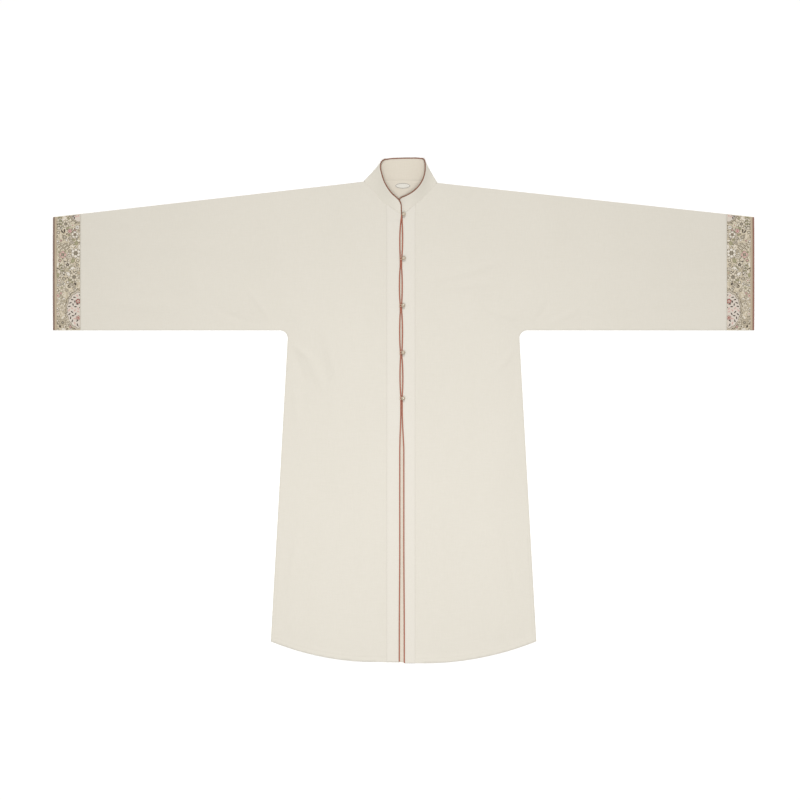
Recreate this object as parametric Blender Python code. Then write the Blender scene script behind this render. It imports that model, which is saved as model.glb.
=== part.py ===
"""Standing-collar hanfu shirt, laid flat with its front up: cloth pieces, piping, buttons and loops.

Metres, +Z up. X runs along the sleeves and +Y points to the collar. Left and right are the wearer's,
so the wearer's right sleeve lies at -X. The origin is on the ground under the garment's middle.
"""
import math
from collections import namedtuple

import bmesh
import bpy
from mathutils import Vector
from mathutils.geometry import delaunay_2d_cdt

# Cloth and seams
CLOTH = 0.0010
COLLAR_CLOTH = 0.0012
LABEL_CLOTH = 0.0005
SEAM_GAP = 0.0003
NECK_SEAM_GAP = 0.0005

# Overall cut
SLEEVE_END_X = 0.8778
SLEEVE_LOW_Y = 0.2003
CUFF_TOP_Y = 0.4834
SIDE_TOP_X = 0.2890
SIDE_LOW_X = 0.3325
HEM_CORNER_Y = -0.5788
UNDERARM_RADIUS = 0.0200
UNDERARM_STEPS = 4
HEM_STEPS = 8

# Where the long straight seams get a point between their ends, away from the middle or up from it
SHOULDER_STOPS_X = (0.26, 0.45, 0.63)
SLEEVE_STOPS_X = (0.66, 0.49)
SIDE_STOPS_Y = (0.0, -0.19, -0.38)

# Cuff bands, from the sleeve out to the mouth
CUFF_BAND_WIDTH = 0.0550
CUFF_STRIP_WIDTH = 0.0063
CUFF_EDGE_WIDTH = 0.0060
CUFF_SEAM_X = SLEEVE_END_X - CUFF_BAND_WIDTH - CUFF_STRIP_WIDTH - CUFF_EDGE_WIDTH - 3 * SEAM_GAP

# Front opening and its piped edges
OPENING_X = -0.0046
BEAD_RADIUS = 0.0017
BEAD_REACH = BEAD_RADIUS + SEAM_GAP
TOUCH_OFFSET = 0.00185
LENS_OFFSET = 0.00325
OPEN_OFFSET = 0.0050
OPENING_TOP_Y = 0.4905
OPENS_OVER = 0.175
LAP_START_Y = 0.466
LAP_END_Y = 0.488
LAP_ANGLE = math.radians(75)
LAP_REACH = 0.025

# Placket bands: outer edges on the two fronts
RIGHT_BAND_X = -0.0430
LEFT_BAND_X = 0.0296

# Soft rise of the fronts over the back
CROWN = 0.0016
CROWN_REACH = 0.045
HEM_SHARE = 0.6
HEM_REACH = 0.080
NECK_LIFT = 0.0010
NECK_LIFT_REACH = 0.025

# Buttons and loops
BALL_RADIUS = 0.0049
SHANK_RADIUS = 0.0015
LOOP_RADIUS = 0.0009
LOOP_BEND = SHANK_RADIUS + SEAM_GAP + LOOP_RADIUS
LOOP_LEG_X = -0.0105
LAPPED_LEG_X = -0.0031

# Blank oval label inside the back neck
LABEL_CENTRE = (-0.0019, 0.5620)
LABEL_SIZE = (0.038, 0.014)

# Mesh spacing
CLOTH_GRID = 0.072
EDGE_STEP_BUTTONED = 0.018
EDGE_STEP_OPEN = 0.070
RIM_CLEAR_SHARE = 0.35
BAND_CLEAR_SHARE = 0.45
LAP_SHARES = (0.33, 0.66)
TUBE_SIDES = 8
LOOP_SIDES = 6
LOOP_STEPS = 8
BALL_SIDES = 14
BALL_STEPS = 8
LABEL_SIDES = 24
RING_STEPS = 8
RING_TURN_STEPS = 4
COLLAR_ROWS = 3
LEAST_SINE = 0.3
SHARP_ANGLE = math.radians(40)

# Each half: name, side, neck corner, where the hem's curve goes level, and its lowest height
Half = namedtuple("Half", "name sign neck_x neck_y level_x hem_low_y band_x")
RIGHT = Half("right", -1, -0.1010, 0.5720, -0.0720, -0.6300, RIGHT_BAND_X)
LEFT = Half("left", 1, 0.0852, 0.5689, 0.0530, -0.6330, LEFT_BAND_X)

# Stretches where the piped edges touch, below each button: upper end, lower end
TOUCHING = (
    (0.491, 0.469),
    (0.381, 0.356),
    (0.266, 0.246),
    (0.146, 0.131),
    (0.036, 0.001),
)

# Buttons: middle x, y
BUTTONS = (
    (0.0006, 0.4902),
    (0.0009, 0.3802),
    (-0.0006, 0.2619),
    (-0.0004, 0.1438),
    (-0.0009, 0.0298),
)

# Long soft folds in the fronts: start x, y, end x, y, half width, height
FOLDS = (
    (-0.282, 0.232, -0.165, 0.060, 0.045, 0.0011),
    (-0.330, 0.255, -0.560, 0.330, 0.050, 0.0009),
    (-0.235, -0.300, -0.290, -0.560, 0.050, 0.0012),
    (-0.120, 0.470, -0.300, 0.415, 0.045, 0.0008),
    (0.285, 0.230, 0.175, 0.040, 0.050, 0.0012),
    (0.325, 0.262, 0.585, 0.318, 0.055, 0.0010),
    (0.225, -0.330, 0.285, -0.570, 0.050, 0.0011),
    (0.115, 0.475, 0.285, 0.425, 0.045, 0.0008),
)

# The collar's straight lines from its seam to its piped edge, on the front: seam x, y, edge x, y, height
CollarLine = namedtuple("CollarLine", "seam_x seam_y edge_x edge_y edge_z")
COLLAR_RIGHT = (
    CollarLine(-0.0051, 0.4905, -0.0062, 0.5138, 0.0078),
    CollarLine(-0.0131, 0.4950, -0.0107, 0.5255, 0.0095),
    CollarLine(-0.0206, 0.4998, -0.0186, 0.5325, 0.0118),
    CollarLine(-0.0344, 0.5093, -0.0306, 0.5432, 0.0155),
    CollarLine(-0.0544, 0.5250, -0.0412, 0.5580, 0.0178),
    CollarLine(-0.0706, 0.5425, -0.0495, 0.5740, 0.0182),
    CollarLine(-0.0831, 0.5575, -0.0552, 0.5930, 0.0175),
    CollarLine(-0.0905, 0.5658, -0.0580, 0.6065, 0.0155),
    CollarLine(-0.0956, 0.5705, -0.0572, 0.6175, 0.0120),
)
COLLAR_LEFT = (
    CollarLine(-0.0041, 0.4905, -0.0112, 0.5232, 0.0042),
    CollarLine(0.0031, 0.4938, -0.0082, 0.5312, 0.0054),
    CollarLine(0.0131, 0.5018, 0.0044, 0.5360, 0.0108),
    CollarLine(0.0256, 0.5130, 0.0231, 0.5462, 0.0165),
    CollarLine(0.0431, 0.5263, 0.0406, 0.5638, 0.0195),
    CollarLine(0.0581, 0.5413, 0.0506, 0.5838, 0.0205),
    CollarLine(0.0694, 0.5543, 0.0539, 0.6013, 0.0195),
    CollarLine(0.0768, 0.5628, 0.0541, 0.6155, 0.0160),
    CollarLine(0.0806, 0.5672, 0.0530, 0.6235, 0.0120),
)

# The collar's part on the back, from the right side to the left: seam x, y, edge x, y
COLLAR_BACK = (
    (-0.0744, 0.5755, -0.0330, 0.6298),
    (-0.0394, 0.5765, -0.0170, 0.6304),
    (-0.0044, 0.5765, 0.0000, 0.6310),
    (0.0306, 0.5755, 0.0180, 0.6312),
    (0.0580, 0.5735, 0.0320, 0.6313),
)
COLLAR_BACK_EDGE_Z = 0.0021

# The collar's two side folds: outermost point at the seam, at the piped edge, and the bend there
CollarFold = namedtuple("CollarFold", "seam_x seam_y edge_x edge_y edge_bend")
FOLD_RIGHT = CollarFold(-0.0990, 0.5738, -0.0504, 0.6262, 0.0052)
FOLD_LEFT = CollarFold(0.0832, 0.5708, 0.0504, 0.6286, 0.0056)
SEAM_BEND = 0.0011
FOLD_STEPS = 6

# Colours, as linear values, with roughness
CREAM = ((0.770, 0.740, 0.655), 0.75)
BAND_CREAM = ((0.800, 0.775, 0.700), 0.70)
TERRACOTTA = ((0.500, 0.155, 0.090), 0.60)
JACQUARD = ((0.330, 0.290, 0.215), 0.65)
TAN = ((0.540, 0.440, 0.300), 0.65)
PEARL = ((0.560, 0.480, 0.370), 0.30)
LABEL_WHITE = ((0.800, 0.780, 0.720), 0.80)


def clear_scene():
    """Remove whatever the file holds."""
    for old in list(bpy.data.objects):
        bpy.data.objects.remove(old, do_unlink=True)


def make_material(name, finish):
    """A Principled material from a colour and a roughness."""
    colour, roughness = finish
    material = bpy.data.materials.new(name)
    material.use_nodes = True
    shader = material.node_tree.nodes["Principled BSDF"]
    shader.inputs["Base Color"].default_value = (*colour, 1.0)
    shader.inputs["Roughness"].default_value = roughness
    shader.inputs["Metallic"].default_value = 0.0
    return material


def add_object(name, vertices, faces, material, smooth_shading=False):
    """Turn points and faces into a named object whose faces all point outwards."""
    mesh = bpy.data.meshes.new(name)
    mesh.from_pydata([tuple(point) for point in vertices], [], faces)
    work = bmesh.new()
    work.from_mesh(mesh)
    bmesh.ops.recalc_face_normals(work, faces=work.faces)
    work.to_mesh(mesh)
    work.free()
    if smooth_shading:
        mesh.shade_smooth()
        mesh.set_sharp_from_angle(angle=SHARP_ANGLE)
    mesh.materials.append(material)
    piece = bpy.data.objects.new(name, mesh)
    bpy.context.scene.collection.objects.link(piece)
    return piece


def smooth(share):
    """Ease from 0 to 1."""
    share = min(max(share, 0.0), 1.0)
    return share * share * (3 - 2 * share)


def segment_distance(x, y, start, end):
    """Distance in plan from a point to a straight seam."""
    run_x = end[0] - start[0]
    run_y = end[1] - start[1]
    share = ((x - start[0]) * run_x + (y - start[1]) * run_y) / (run_x ** 2 + run_y ** 2)
    share = min(max(share, 0.0), 1.0)
    return math.hypot(x - start[0] - share * run_x, y - start[1] - share * run_y)


def shoulder_y(half, x):
    """Height in plan of the sloping shoulder and sleeve-top seam."""
    share = (abs(x) - abs(half.neck_x)) / (SLEEVE_END_X - abs(half.neck_x))
    return half.neck_y + share * (CUFF_TOP_Y - half.neck_y)


def side_x(y):
    """Distance of the side seam from the middle."""
    share = (SLEEVE_LOW_Y - y) / (SLEEVE_LOW_Y - HEM_CORNER_Y)
    return SIDE_TOP_X + share * (SIDE_LOW_X - SIDE_TOP_X)


def hem_y(half, x):
    """The curved hem, level in the middle and rising to the side seams."""
    run = (half.sign * x - half.sign * half.level_x) / (SIDE_LOW_X - half.sign * half.level_x)
    return half.hem_low_y + (HEM_CORNER_Y - half.hem_low_y) * max(run, 0.0) ** 2


def bead_offset(y):
    """Half the distance between the two piped edges' middles at a height in plan."""
    if y >= TOUCHING[0][1]:
        return TOUCH_OFFSET
    for above, below in zip(TOUCHING, TOUCHING[1:]):
        if y > below[0]:
            share = (above[1] - y) / (above[1] - below[0])
            return TOUCH_OFFSET + (LENS_OFFSET - TOUCH_OFFSET) * math.sin(math.pi * share) ** 0.8
        if y >= below[1]:
            return TOUCH_OFFSET
    share = (TOUCHING[-1][1] - y) / OPENS_OVER
    return TOUCH_OFFSET + (OPEN_OFFSET - TOUCH_OFFSET) * smooth(share)


def lap_angle(y):
    """How far the right edge has turned up over the left one, near the collar."""
    return LAP_ANGLE * smooth((y - LAP_START_Y) / (LAP_END_Y - LAP_START_Y))


def bead_x(half, y):
    """Middle of a half's piped front edge."""
    return OPENING_X + half.sign * bead_offset(y) * math.cos(lap_angle(y))


def fold_height(x, y):
    """Height that the long soft folds add."""
    height = 0.0
    for start_x, start_y, end_x, end_y, half_width, rise in FOLDS:
        away = segment_distance(x, y, (start_x, start_y), (end_x, end_y))
        height += rise * math.exp(-(away / half_width) ** 2)
    return height


def front_low_z(half, x, y):
    """Height of a front's underside over the ground."""
    neck = (half.neck_x, half.neck_y)
    mouth = (half.sign * SLEEVE_END_X, CUFF_TOP_Y)
    underarm = (half.sign * SIDE_TOP_X, SLEEVE_LOW_Y)
    seams = (
        (neck, mouth),
        (underarm, (half.sign * SLEEVE_END_X, SLEEVE_LOW_Y)),
        (underarm, (half.sign * SIDE_LOW_X, HEM_CORNER_Y)),
    )
    away = min(segment_distance(x, y, *seam) for seam in seams)
    inward = 1 - math.exp(-(away / CROWN_REACH) ** 2)
    over_hem = smooth((y - hem_y(half, x)) / HEM_REACH)
    lift = CROWN * (HEM_SHARE + (1 - HEM_SHARE) * over_hem) + fold_height(x, y) * over_hem
    lift *= inward
    neck_away = math.hypot(x - neck[0], y - neck[1])
    lift += NECK_LIFT * math.exp(-(neck_away / NECK_LIFT_REACH) ** 2)
    if half is RIGHT:
        edge_away = min(x - bead_x(half, y), 0.0)
        lap = 2 * TOUCH_OFFSET * math.sin(lap_angle(y))
        lift += lap * math.exp(-(edge_away / LAP_REACH) ** 2)
    return CLOTH + SEAM_GAP + lift


def front_mid_z(half, x, y):
    """Height of the middle of a front's cloth."""
    return front_low_z(half, x, y) + CLOTH / 2


def bead_z(half, y):
    """Height of the middle of a piped front edge, which clears the back."""
    lowest = CLOTH + SEAM_GAP + BEAD_RADIUS
    return max(front_mid_z(half, bead_x(half, y), y), lowest)


def edge_rows(half):
    """Heights in plan at which the front edge is worked out, from the hem to the collar."""
    hem = hem_y(half, OPENING_X)
    open_count = math.ceil((TOUCHING[-1][1] - hem) / EDGE_STEP_OPEN)
    closed_count = math.ceil((OPENING_TOP_Y - TOUCHING[-1][1]) / EDGE_STEP_BUTTONED)
    rows = [hem + (TOUCHING[-1][1] - hem) * step / open_count for step in range(open_count)]
    for step in range(closed_count + 1):
        rows.append(TOUCHING[-1][1] + (OPENING_TOP_Y - TOUCHING[-1][1]) * step / closed_count)
    return rows


def keep_off(way, edge):
    """How far to go along one direction to leave a piped edge, which runs along another, clear."""
    return BEAD_REACH / max(way.normalized().cross(edge.normalized()).length, LEAST_SINE)


def cloth_edge_x(half, y):
    """Where a front's cloth ends beside its piped edge."""
    return bead_x(half, y) + half.sign * BEAD_REACH


def collar_lines(half):
    """The front collar lines of one half, with the first one moved off its piped end."""
    first, second = (COLLAR_RIGHT if half is RIGHT else COLLAR_LEFT)[:2]
    seam = Vector((first.seam_x, first.seam_y, 0))
    edge = Vector((first.edge_x, first.edge_y, first.edge_z))
    seam_step = Vector((second.seam_x, second.seam_y, 0)) - seam
    edge_step = Vector((second.edge_x, second.edge_y, second.edge_z)) - edge
    end = Vector((first.edge_x, first.edge_y, 0)) - seam
    seam += seam_step * keep_off(seam_step, end) / seam_step.length
    edge += edge_step * keep_off(edge_step, end) / edge_step.length
    rest = (COLLAR_RIGHT if half is RIGHT else COLLAR_LEFT)[1:]
    return [CollarLine(seam.x, seam.y, *edge), *rest]


def neckline(half):
    """A front's neckline, from the opening to the neck corner, just outside the collar's seam."""
    points = []
    for line in collar_lines(half):
        seam = Vector((line.seam_x, line.seam_y))
        outward = (seam - Vector((line.edge_x, line.edge_y))).normalized()
        points.append(tuple(seam + outward * NECK_SEAM_GAP))
    points[0] = (cloth_edge_x(half, OPENING_TOP_Y), points[0][1])
    points.append((half.neck_x, half.neck_y))
    return points


def outer_edge(half):
    """From the neck corner along shoulder, sleeve, underarm, side and hem to where the hem is level."""
    cuff_x = half.sign * CUFF_SEAM_X
    points = [(half.sign * x, shoulder_y(half, x)) for x in SHOULDER_STOPS_X]
    points.append((cuff_x, shoulder_y(half, cuff_x)))
    points.append((cuff_x, SLEEVE_LOW_Y))
    points += [(half.sign * x, SLEEVE_LOW_Y) for x in SLEEVE_STOPS_X]
    middle_y = SLEEVE_LOW_Y - UNDERARM_RADIUS
    middle_x = side_x(middle_y) + UNDERARM_RADIUS
    for step in range(UNDERARM_STEPS + 1):
        angle = math.radians(90 + 90 * step / UNDERARM_STEPS)
        x = middle_x + UNDERARM_RADIUS * math.cos(angle)
        points.append((half.sign * x, middle_y + UNDERARM_RADIUS * math.sin(angle)))
    points += [(half.sign * side_x(y), y) for y in SIDE_STOPS_Y]
    for step in range(HEM_STEPS + 1):
        share = 1 - step / HEM_STEPS
        x = half.level_x + half.sign * share * (SIDE_LOW_X - abs(half.level_x))
        points.append((x, hem_y(half, x)))
    return points


def front_outline(half):
    """Closed outline of a front cut in one with its sleeve."""
    edge = [(cloth_edge_x(half, y), y) for y in edge_rows(half)[:-1]]
    return edge + neckline(half) + outer_edge(half)


def back_outline():
    """Closed outline of the back cut in one with both sleeves."""
    seam = [(x, y - NECK_SEAM_GAP) for x, y, _, _ in COLLAR_BACK]
    right = [(RIGHT.neck_x, RIGHT.neck_y)] + outer_edge(RIGHT)
    left = [(LEFT.neck_x, LEFT.neck_y)] + outer_edge(LEFT)
    return seam + left + right[::-1]


def back_low_z(x, y):
    """The back's underside lies flat on the ground."""
    return 0.0


def inside(outline, x, y):
    """Whether a point lies inside a closed outline."""
    crossings = 0
    for (x0, y0), (x1, y1) in zip(outline, outline[1:] + outline[:1]):
        if (y0 > y) != (y1 > y) and x < x0 + (y - y0) / (y1 - y0) * (x1 - x0):
            crossings += 1
    return crossings % 2 == 1


def grid_points(outline, keep_off):
    """Points of a staggered grid that lie well inside an outline and off some of its points."""
    rim = list(zip(outline, outline[1:] + outline[:1]))
    found = []
    row_step = CLOTH_GRID * math.sqrt(3) / 2
    most = math.ceil(SLEEVE_END_X / row_step)
    for row in range(-most, most + 1):
        for column in range(-most, most + 1):
            x = (column + 0.5 * (row % 2)) * CLOTH_GRID
            y = row * row_step
            if not inside(outline, x, y):
                continue
            if min(segment_distance(x, y, *edge) for edge in rim) < CLOTH_GRID * RIM_CLEAR_SHARE:
                continue
            if min(math.dist((x, y), point) for point in keep_off) < CLOTH_GRID * BAND_CLEAR_SHARE:
                continue
            found.append((x, y))
    return found


def plan_triangles(outline, inner=(), creases=()):
    """Triangulate an outline in plan with some inner points and creases of joined points."""
    area = sum(x0 * y1 - x1 * y0 for (x0, y0), (x1, y1) in zip(outline, outline[1:] + outline[:1]))
    rim = list(outline) if area > 0 else list(outline)[::-1]
    places = {point: index for index, point in enumerate(rim)}
    for point in [*inner, *(point for crease in creases for point in crease)]:
        places.setdefault(point, len(places))
    edges = [(places[start], places[end]) for crease in creases for start, end in zip(crease, crease[1:])]
    flat, _, triangles, _, _, _ = delaunay_2d_cdt(
        [Vector(point) for point in places], edges, [list(range(len(rim)))], 1, 1e-7)
    return [tuple(point) for point in flat], triangles


def add_plate(name, plan, low_z, thickness, material):
    """A cloth wall over triangles in plan; low_z(x, y) gives its underside."""
    flat, triangles = plan
    count = len(flat)
    vertices = [(x, y, low_z(x, y)) for x, y in flat]
    vertices += [(x, y, z + thickness) for x, y, z in vertices]
    faces = [tuple(reversed(triangle)) for triangle in triangles]
    faces += [tuple(index + count for index in triangle) for triangle in triangles]
    uses = {}
    for triangle in triangles:
        for start, end in zip(triangle, triangle[1:] + triangle[:1]):
            uses.setdefault(frozenset((start, end)), []).append((start, end))
    for found in uses.values():
        if len(found) == 1:
            start, end = found[0]
            faces.append((start, end, end + count, start + count))
    return add_object(name, vertices, faces, material)


def band_rows(half):
    """Inner and outer points of a placket band at each row of the front edge."""
    hem = hem_y(half, half.band_x)
    rows = edge_rows(half)
    inner = [(cloth_edge_x(half, y), y) for y in rows[:-1]]
    outer = [(half.band_x, hem)] + [(half.band_x, y) for y in rows[1:-1]]
    top = neckline(half)
    inner.append(top[0])
    reach = [point for point in top[1:] if abs(point[0]) < abs(half.band_x)]
    before = (top[:1] + reach)[-1]
    after = top[1 + len(reach)]
    share = (half.band_x - before[0]) / (after[0] - before[0])
    outer.append((half.band_x, before[1] + share * (after[1] - before[1])))
    return inner, outer, reach


def lapped_points(half):
    """Points across the upper placket band, where the right edge turns up over the left."""
    points = []
    for y in edge_rows(half)[:-1]:
        if y > LAP_START_Y - EDGE_STEP_BUTTONED * 1.5:
            edge = cloth_edge_x(half, y)
            points += [(edge + share * (half.band_x - edge), y) for share in LAP_SHARES]
    return points


def add_front(half, material):
    """One front with its half of the sleeve."""
    outline = front_outline(half)
    _, outer, _ = band_rows(half)
    hem_index = outline.index((half.level_x, hem_y(half, half.level_x)))
    outline.insert(hem_index + 1, outer[0])
    neck_top = neckline(half)
    after = next(point for point in neck_top if abs(point[0]) > abs(half.band_x))
    outline.insert(outline.index(after), outer[-1])
    inner = grid_points(outline, outer) + lapped_points(half)
    plan = plan_triangles(outline, inner, [outer])
    return add_plate(f"front_{half.name}", plan, lambda x, y: front_low_z(half, x, y), CLOTH, material)


def add_placket(half, material):
    """The band sewn on a front beside its piped edge."""
    inner, outer, reach = band_rows(half)
    outline = inner + reach + outer[::-1]
    plan = plan_triangles(outline, lapped_points(half))

    def underside(x, y):
        return front_low_z(half, x, y) + CLOTH + SEAM_GAP

    return add_plate(f"placket_{half.name}", plan, underside, CLOTH, material)


def add_back(material):
    """The back with the back halves of both sleeves, flat on the ground."""
    return add_plate("back", plan_triangles(back_outline()), back_low_z, CLOTH, material)


def add_tube(name, path, radius, material, sides=TUBE_SIDES):
    """A round bead or cord along a path, with flat ends."""
    points = [Vector(point) for point in path]
    vertices = []
    across = None
    for index, point in enumerate(points):
        before = points[max(index - 1, 0)]
        after = points[min(index + 1, len(points) - 1)]
        along = (after - before).normalized()
        if across is None:
            across = along.cross(Vector((0, 0, 1))).normalized()
        across = (across - along * across.dot(along)).normalized()
        upward = across.cross(along).normalized()
        for side in range(sides):
            angle = 2 * math.pi * (side + 0.5) / sides
            vertices.append(point + radius * (across * math.cos(angle) + upward * math.sin(angle)))
    faces = [tuple(range(sides)), tuple(len(vertices) - 1 - side for side in range(sides))]
    for index in range(len(points) - 1):
        for side in range(sides):
            here = index * sides
            beside = (side + 1) % sides
            faces.append((here + side, here + beside, here + sides + beside, here + sides + side))
    return add_object(name, vertices, faces, material, smooth_shading=True)


def add_front_piping(half, material):
    """The piped edge of a front, from the hem to the collar."""
    rows = edge_rows(half)
    rows[-1] = OPENING_TOP_Y - SEAM_GAP / 2
    path = [(bead_x(half, y), y, bead_z(half, y)) for y in rows]
    return add_tube(f"front_piping_{half.name}", path, BEAD_RADIUS, material)


def fold_lines(fold, from_back):
    """Collar lines round a side fold: the seam turns right over, the piped edge turns upright."""
    seam = Vector((fold.seam_x, fold.seam_y, 0))
    edge = Vector((fold.edge_x, fold.edge_y, 0))
    along = (edge - seam).normalized()
    outward = Vector((-along.y, along.x, 0))
    if outward.x * fold.seam_x < 0:
        outward = -outward
    slant = abs(along.x) / along.y
    upward = Vector((0, 0, 1))
    lines = []
    for step in range(FOLD_STEPS + 1):
        ends = []
        for outermost, bend, low_z, turned in ((seam, SEAM_BEND, COLLAR_CLOTH / 2, math.pi),
                                               (edge, fold.edge_bend, COLLAR_BACK_EDGE_Z, math.pi / 2)):
            angle = turned * step / FOLD_STEPS - math.pi / 2
            turn = outward * (math.cos(angle) - 1) + upward * (math.sin(angle) + 1)
            slide = along * max(-angle, 0.0) * slant
            ends.append(outermost + (turn + slide) * bend + upward * low_z)
        lines.append(tuple(ends))
    return lines if from_back else lines[::-1]


def front_collar_points(half, lines):
    """Seam and edge points with heights for the collar lines of one front."""
    points = []
    for line in lines:
        low = Vector((line.seam_x, line.seam_y, front_mid_z(half, line.seam_x, line.seam_y)))
        points.append((low, Vector((line.edge_x, line.edge_y, line.edge_z))))
    return points


def collar_loop(right_lines, left_lines):
    """All collar lines in order, from the right front end round the back to the left front end."""
    back = [(Vector((x0, y0, COLLAR_CLOTH / 2)), Vector((x1, y1, COLLAR_BACK_EDGE_Z)))
            for x0, y0, x1, y1 in COLLAR_BACK]
    right = front_collar_points(RIGHT, right_lines)
    left = front_collar_points(LEFT, left_lines)
    return right + fold_lines(FOLD_RIGHT, False) + back + fold_lines(FOLD_LEFT, True) + left[::-1]


def add_collar(material):
    """The standing collar, one band folded at both sides of the neck."""
    across = COLLAR_ROWS
    middle = []
    loop = collar_loop(collar_lines(RIGHT), collar_lines(LEFT))
    for index, (low, high) in enumerate(loop):
        beside = [loop[max(index - 1, 0)][1], loop[min(index + 1, len(loop) - 1)][1]]
        off = max(keep_off(high - low, high - point) for point in beside if point != high)
        top = high - (high - low).normalized() * off
        middle.append([low.lerp(top, step / across) for step in range(across + 1)])
    outer = []
    inner = []
    for index, line in enumerate(middle):
        before = middle[max(index - 1, 0)]
        after = middle[min(index + 1, len(middle) - 1)]
        for step, point in enumerate(line):
            rise = line[min(step + 1, across)] - line[max(step - 1, 0)]
            normal = (after[step] - before[step]).cross(rise).normalized()
            outer.append(point + normal * COLLAR_CLOTH / 2)
            inner.append(point - normal * COLLAR_CLOTH / 2)
    count = len(outer)
    row = across + 1
    faces = []
    for index in range(len(middle) - 1):
        for step in range(across):
            here = index * row + step
            faces.append((here, here + 1, here + row + 1, here + row))
            faces.append((count + here, count + here + row, count + here + row + 1, count + here + 1))
        for step in (0, across):
            here = index * row + step
            faces.append((here, here + row, count + here + row, count + here))
    for index in (0, len(middle) - 1):
        for step in range(across):
            here = index * row + step
            faces.append((here, here + 1, count + here + 1, count + here))
    return add_object("collar", outer + inner, faces, material, smooth_shading=True)


def add_collar_piping(material):
    """The piped edge up the collar's right end, round its top and down its left end."""
    loop = collar_loop(COLLAR_RIGHT, COLLAR_LEFT)
    path = [loop[0][0].lerp(loop[0][1], share) for share in (0, 0.5)]
    path += [high for _, high in loop]
    path += [loop[-1][0].lerp(loop[-1][1], share) for share in (0.66, 0.33, 0)]
    for end in (0, -1):
        path[end].y += SEAM_GAP / 2
    return add_tube("collar_piping", path, BEAD_RADIUS, material)


def ring_pairs(half, x):
    """Outer and inner points of a flattened sleeve ring in the Y-Z plane at one x."""
    low = SLEEVE_LOW_Y
    high = shoulder_y(half, x)
    bend = CLOTH + SEAM_GAP / 2
    middle = CLOTH + SEAM_GAP / 2
    pairs = []
    for end_y, start in ((low + bend, 270), (high - bend, 90)):
        turn = []
        for step in range(1, RING_TURN_STEPS):
            angle = math.radians(start - 180 * step / RING_TURN_STEPS)
            reach = (math.cos(angle), math.sin(angle))
            turn.append(tuple((end_y + radius * reach[0], middle + radius * reach[1])
                              for radius in (bend, SEAM_GAP / 2)))
        if end_y < middle + low + bend:
            pairs += [((end_y, 0.0), (end_y, CLOTH))] + turn
            for step in range(RING_STEPS + 1):
                y = low + bend + (high - low - 2 * bend) * step / RING_STEPS
                under = front_low_z(half, x, y)
                pairs.append(((y, under + CLOTH), (y, under)))
        else:
            pairs += turn + [((end_y, 0.0), (end_y, CLOTH))]
    return pairs


def add_ring(name, half, start_x, width, material):
    """A flattened ring of cloth round the sleeve's mouth."""
    rows = []
    for x in (start_x, start_x + width):
        rows.append([(half.sign * x, pair) for pair in ring_pairs(half, half.sign * x)])
    count = len(rows[0])
    vertices = []
    for row in rows:
        for place in (0, 1):
            vertices += [(x, *pair[place]) for x, pair in row]
    faces = []
    for index in range(count):
        beside = (index + 1) % count
        for start, end in ((0, 2), (1, 3), (0, 1), (2, 3)):
            faces.append((start * count + index, start * count + beside,
                          end * count + beside, end * count + index))
    return add_object(name, vertices, faces, material)


def add_cuff(half, materials):
    """The patterned cuff band, the plain strip beside it and the piped mouth."""
    start_x = CUFF_SEAM_X + SEAM_GAP
    rings = (
        ("cuff", CUFF_BAND_WIDTH, "jacquard"),
        ("cuff_strip", CUFF_STRIP_WIDTH, "tan_strip"),
        ("cuff_edge", CUFF_EDGE_WIDTH, "piping"),
    )
    for name, width, slot in rings:
        add_ring(f"{name}_{half.name}", half, start_x, width, materials[slot])
        start_x += width + SEAM_GAP


def band_top_z(half, x, y):
    """Height of the top of a placket band."""
    return front_low_z(half, x, y) + 2 * CLOTH + SEAM_GAP


def add_button(number, x, y, material):
    """A turned ball button on its shank."""
    foot = band_top_z(LEFT, x, y) + SEAM_GAP
    clear = BALL_RADIUS + LOOP_RADIUS + SEAM_GAP
    middle = foot + LOOP_RADIUS + math.sqrt(clear ** 2 - LOOP_BEND ** 2)
    neck_angle = math.asin(SHANK_RADIUS / BALL_RADIUS)
    profile = [(SHANK_RADIUS, foot)]
    for step in range(BALL_STEPS):
        angle = neck_angle + (math.pi - neck_angle) * step / BALL_STEPS
        profile.append((BALL_RADIUS * math.sin(angle), middle - BALL_RADIUS * math.cos(angle)))
    sides = BALL_SIDES
    vertices = [(x, y, foot), (x, y, middle + BALL_RADIUS)]
    for radius, z in profile:
        for side in range(sides):
            angle = 2 * math.pi * side / sides
            vertices.append((x + radius * math.cos(angle), y + radius * math.sin(angle), z))
    faces = []
    for side in range(sides):
        beside = (side + 1) % sides
        faces.append((0, 2 + beside, 2 + side))
        last = 2 + (len(profile) - 1) * sides
        faces.append((1, last + side, last + beside))
        for row in range(len(profile) - 1):
            here = 2 + row * sides
            faces.append((here + side, here + beside, here + sides + beside, here + sides + side))
    return add_object(f"button_{number}", vertices, faces, material, smooth_shading=True)


def add_loop(number, x, y, material):
    """A cord loop from the right edge round a button's shank."""
    z = band_top_z(LEFT, x, y) + SEAM_GAP + LOOP_RADIUS
    leg_x = LAPPED_LEG_X if lap_angle(y) > 0 else LOOP_LEG_X
    path = [(leg_x, y + LOOP_BEND, z)]
    for step in range(LOOP_STEPS + 1):
        angle = math.pi * (0.5 - step / LOOP_STEPS)
        path.append((x + LOOP_BEND * math.cos(angle), y + LOOP_BEND * math.sin(angle), z))
    path.append((leg_x, y - LOOP_BEND, z))
    return add_tube(f"loop_{number}", path, LOOP_RADIUS, material, sides=LOOP_SIDES)


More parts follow.
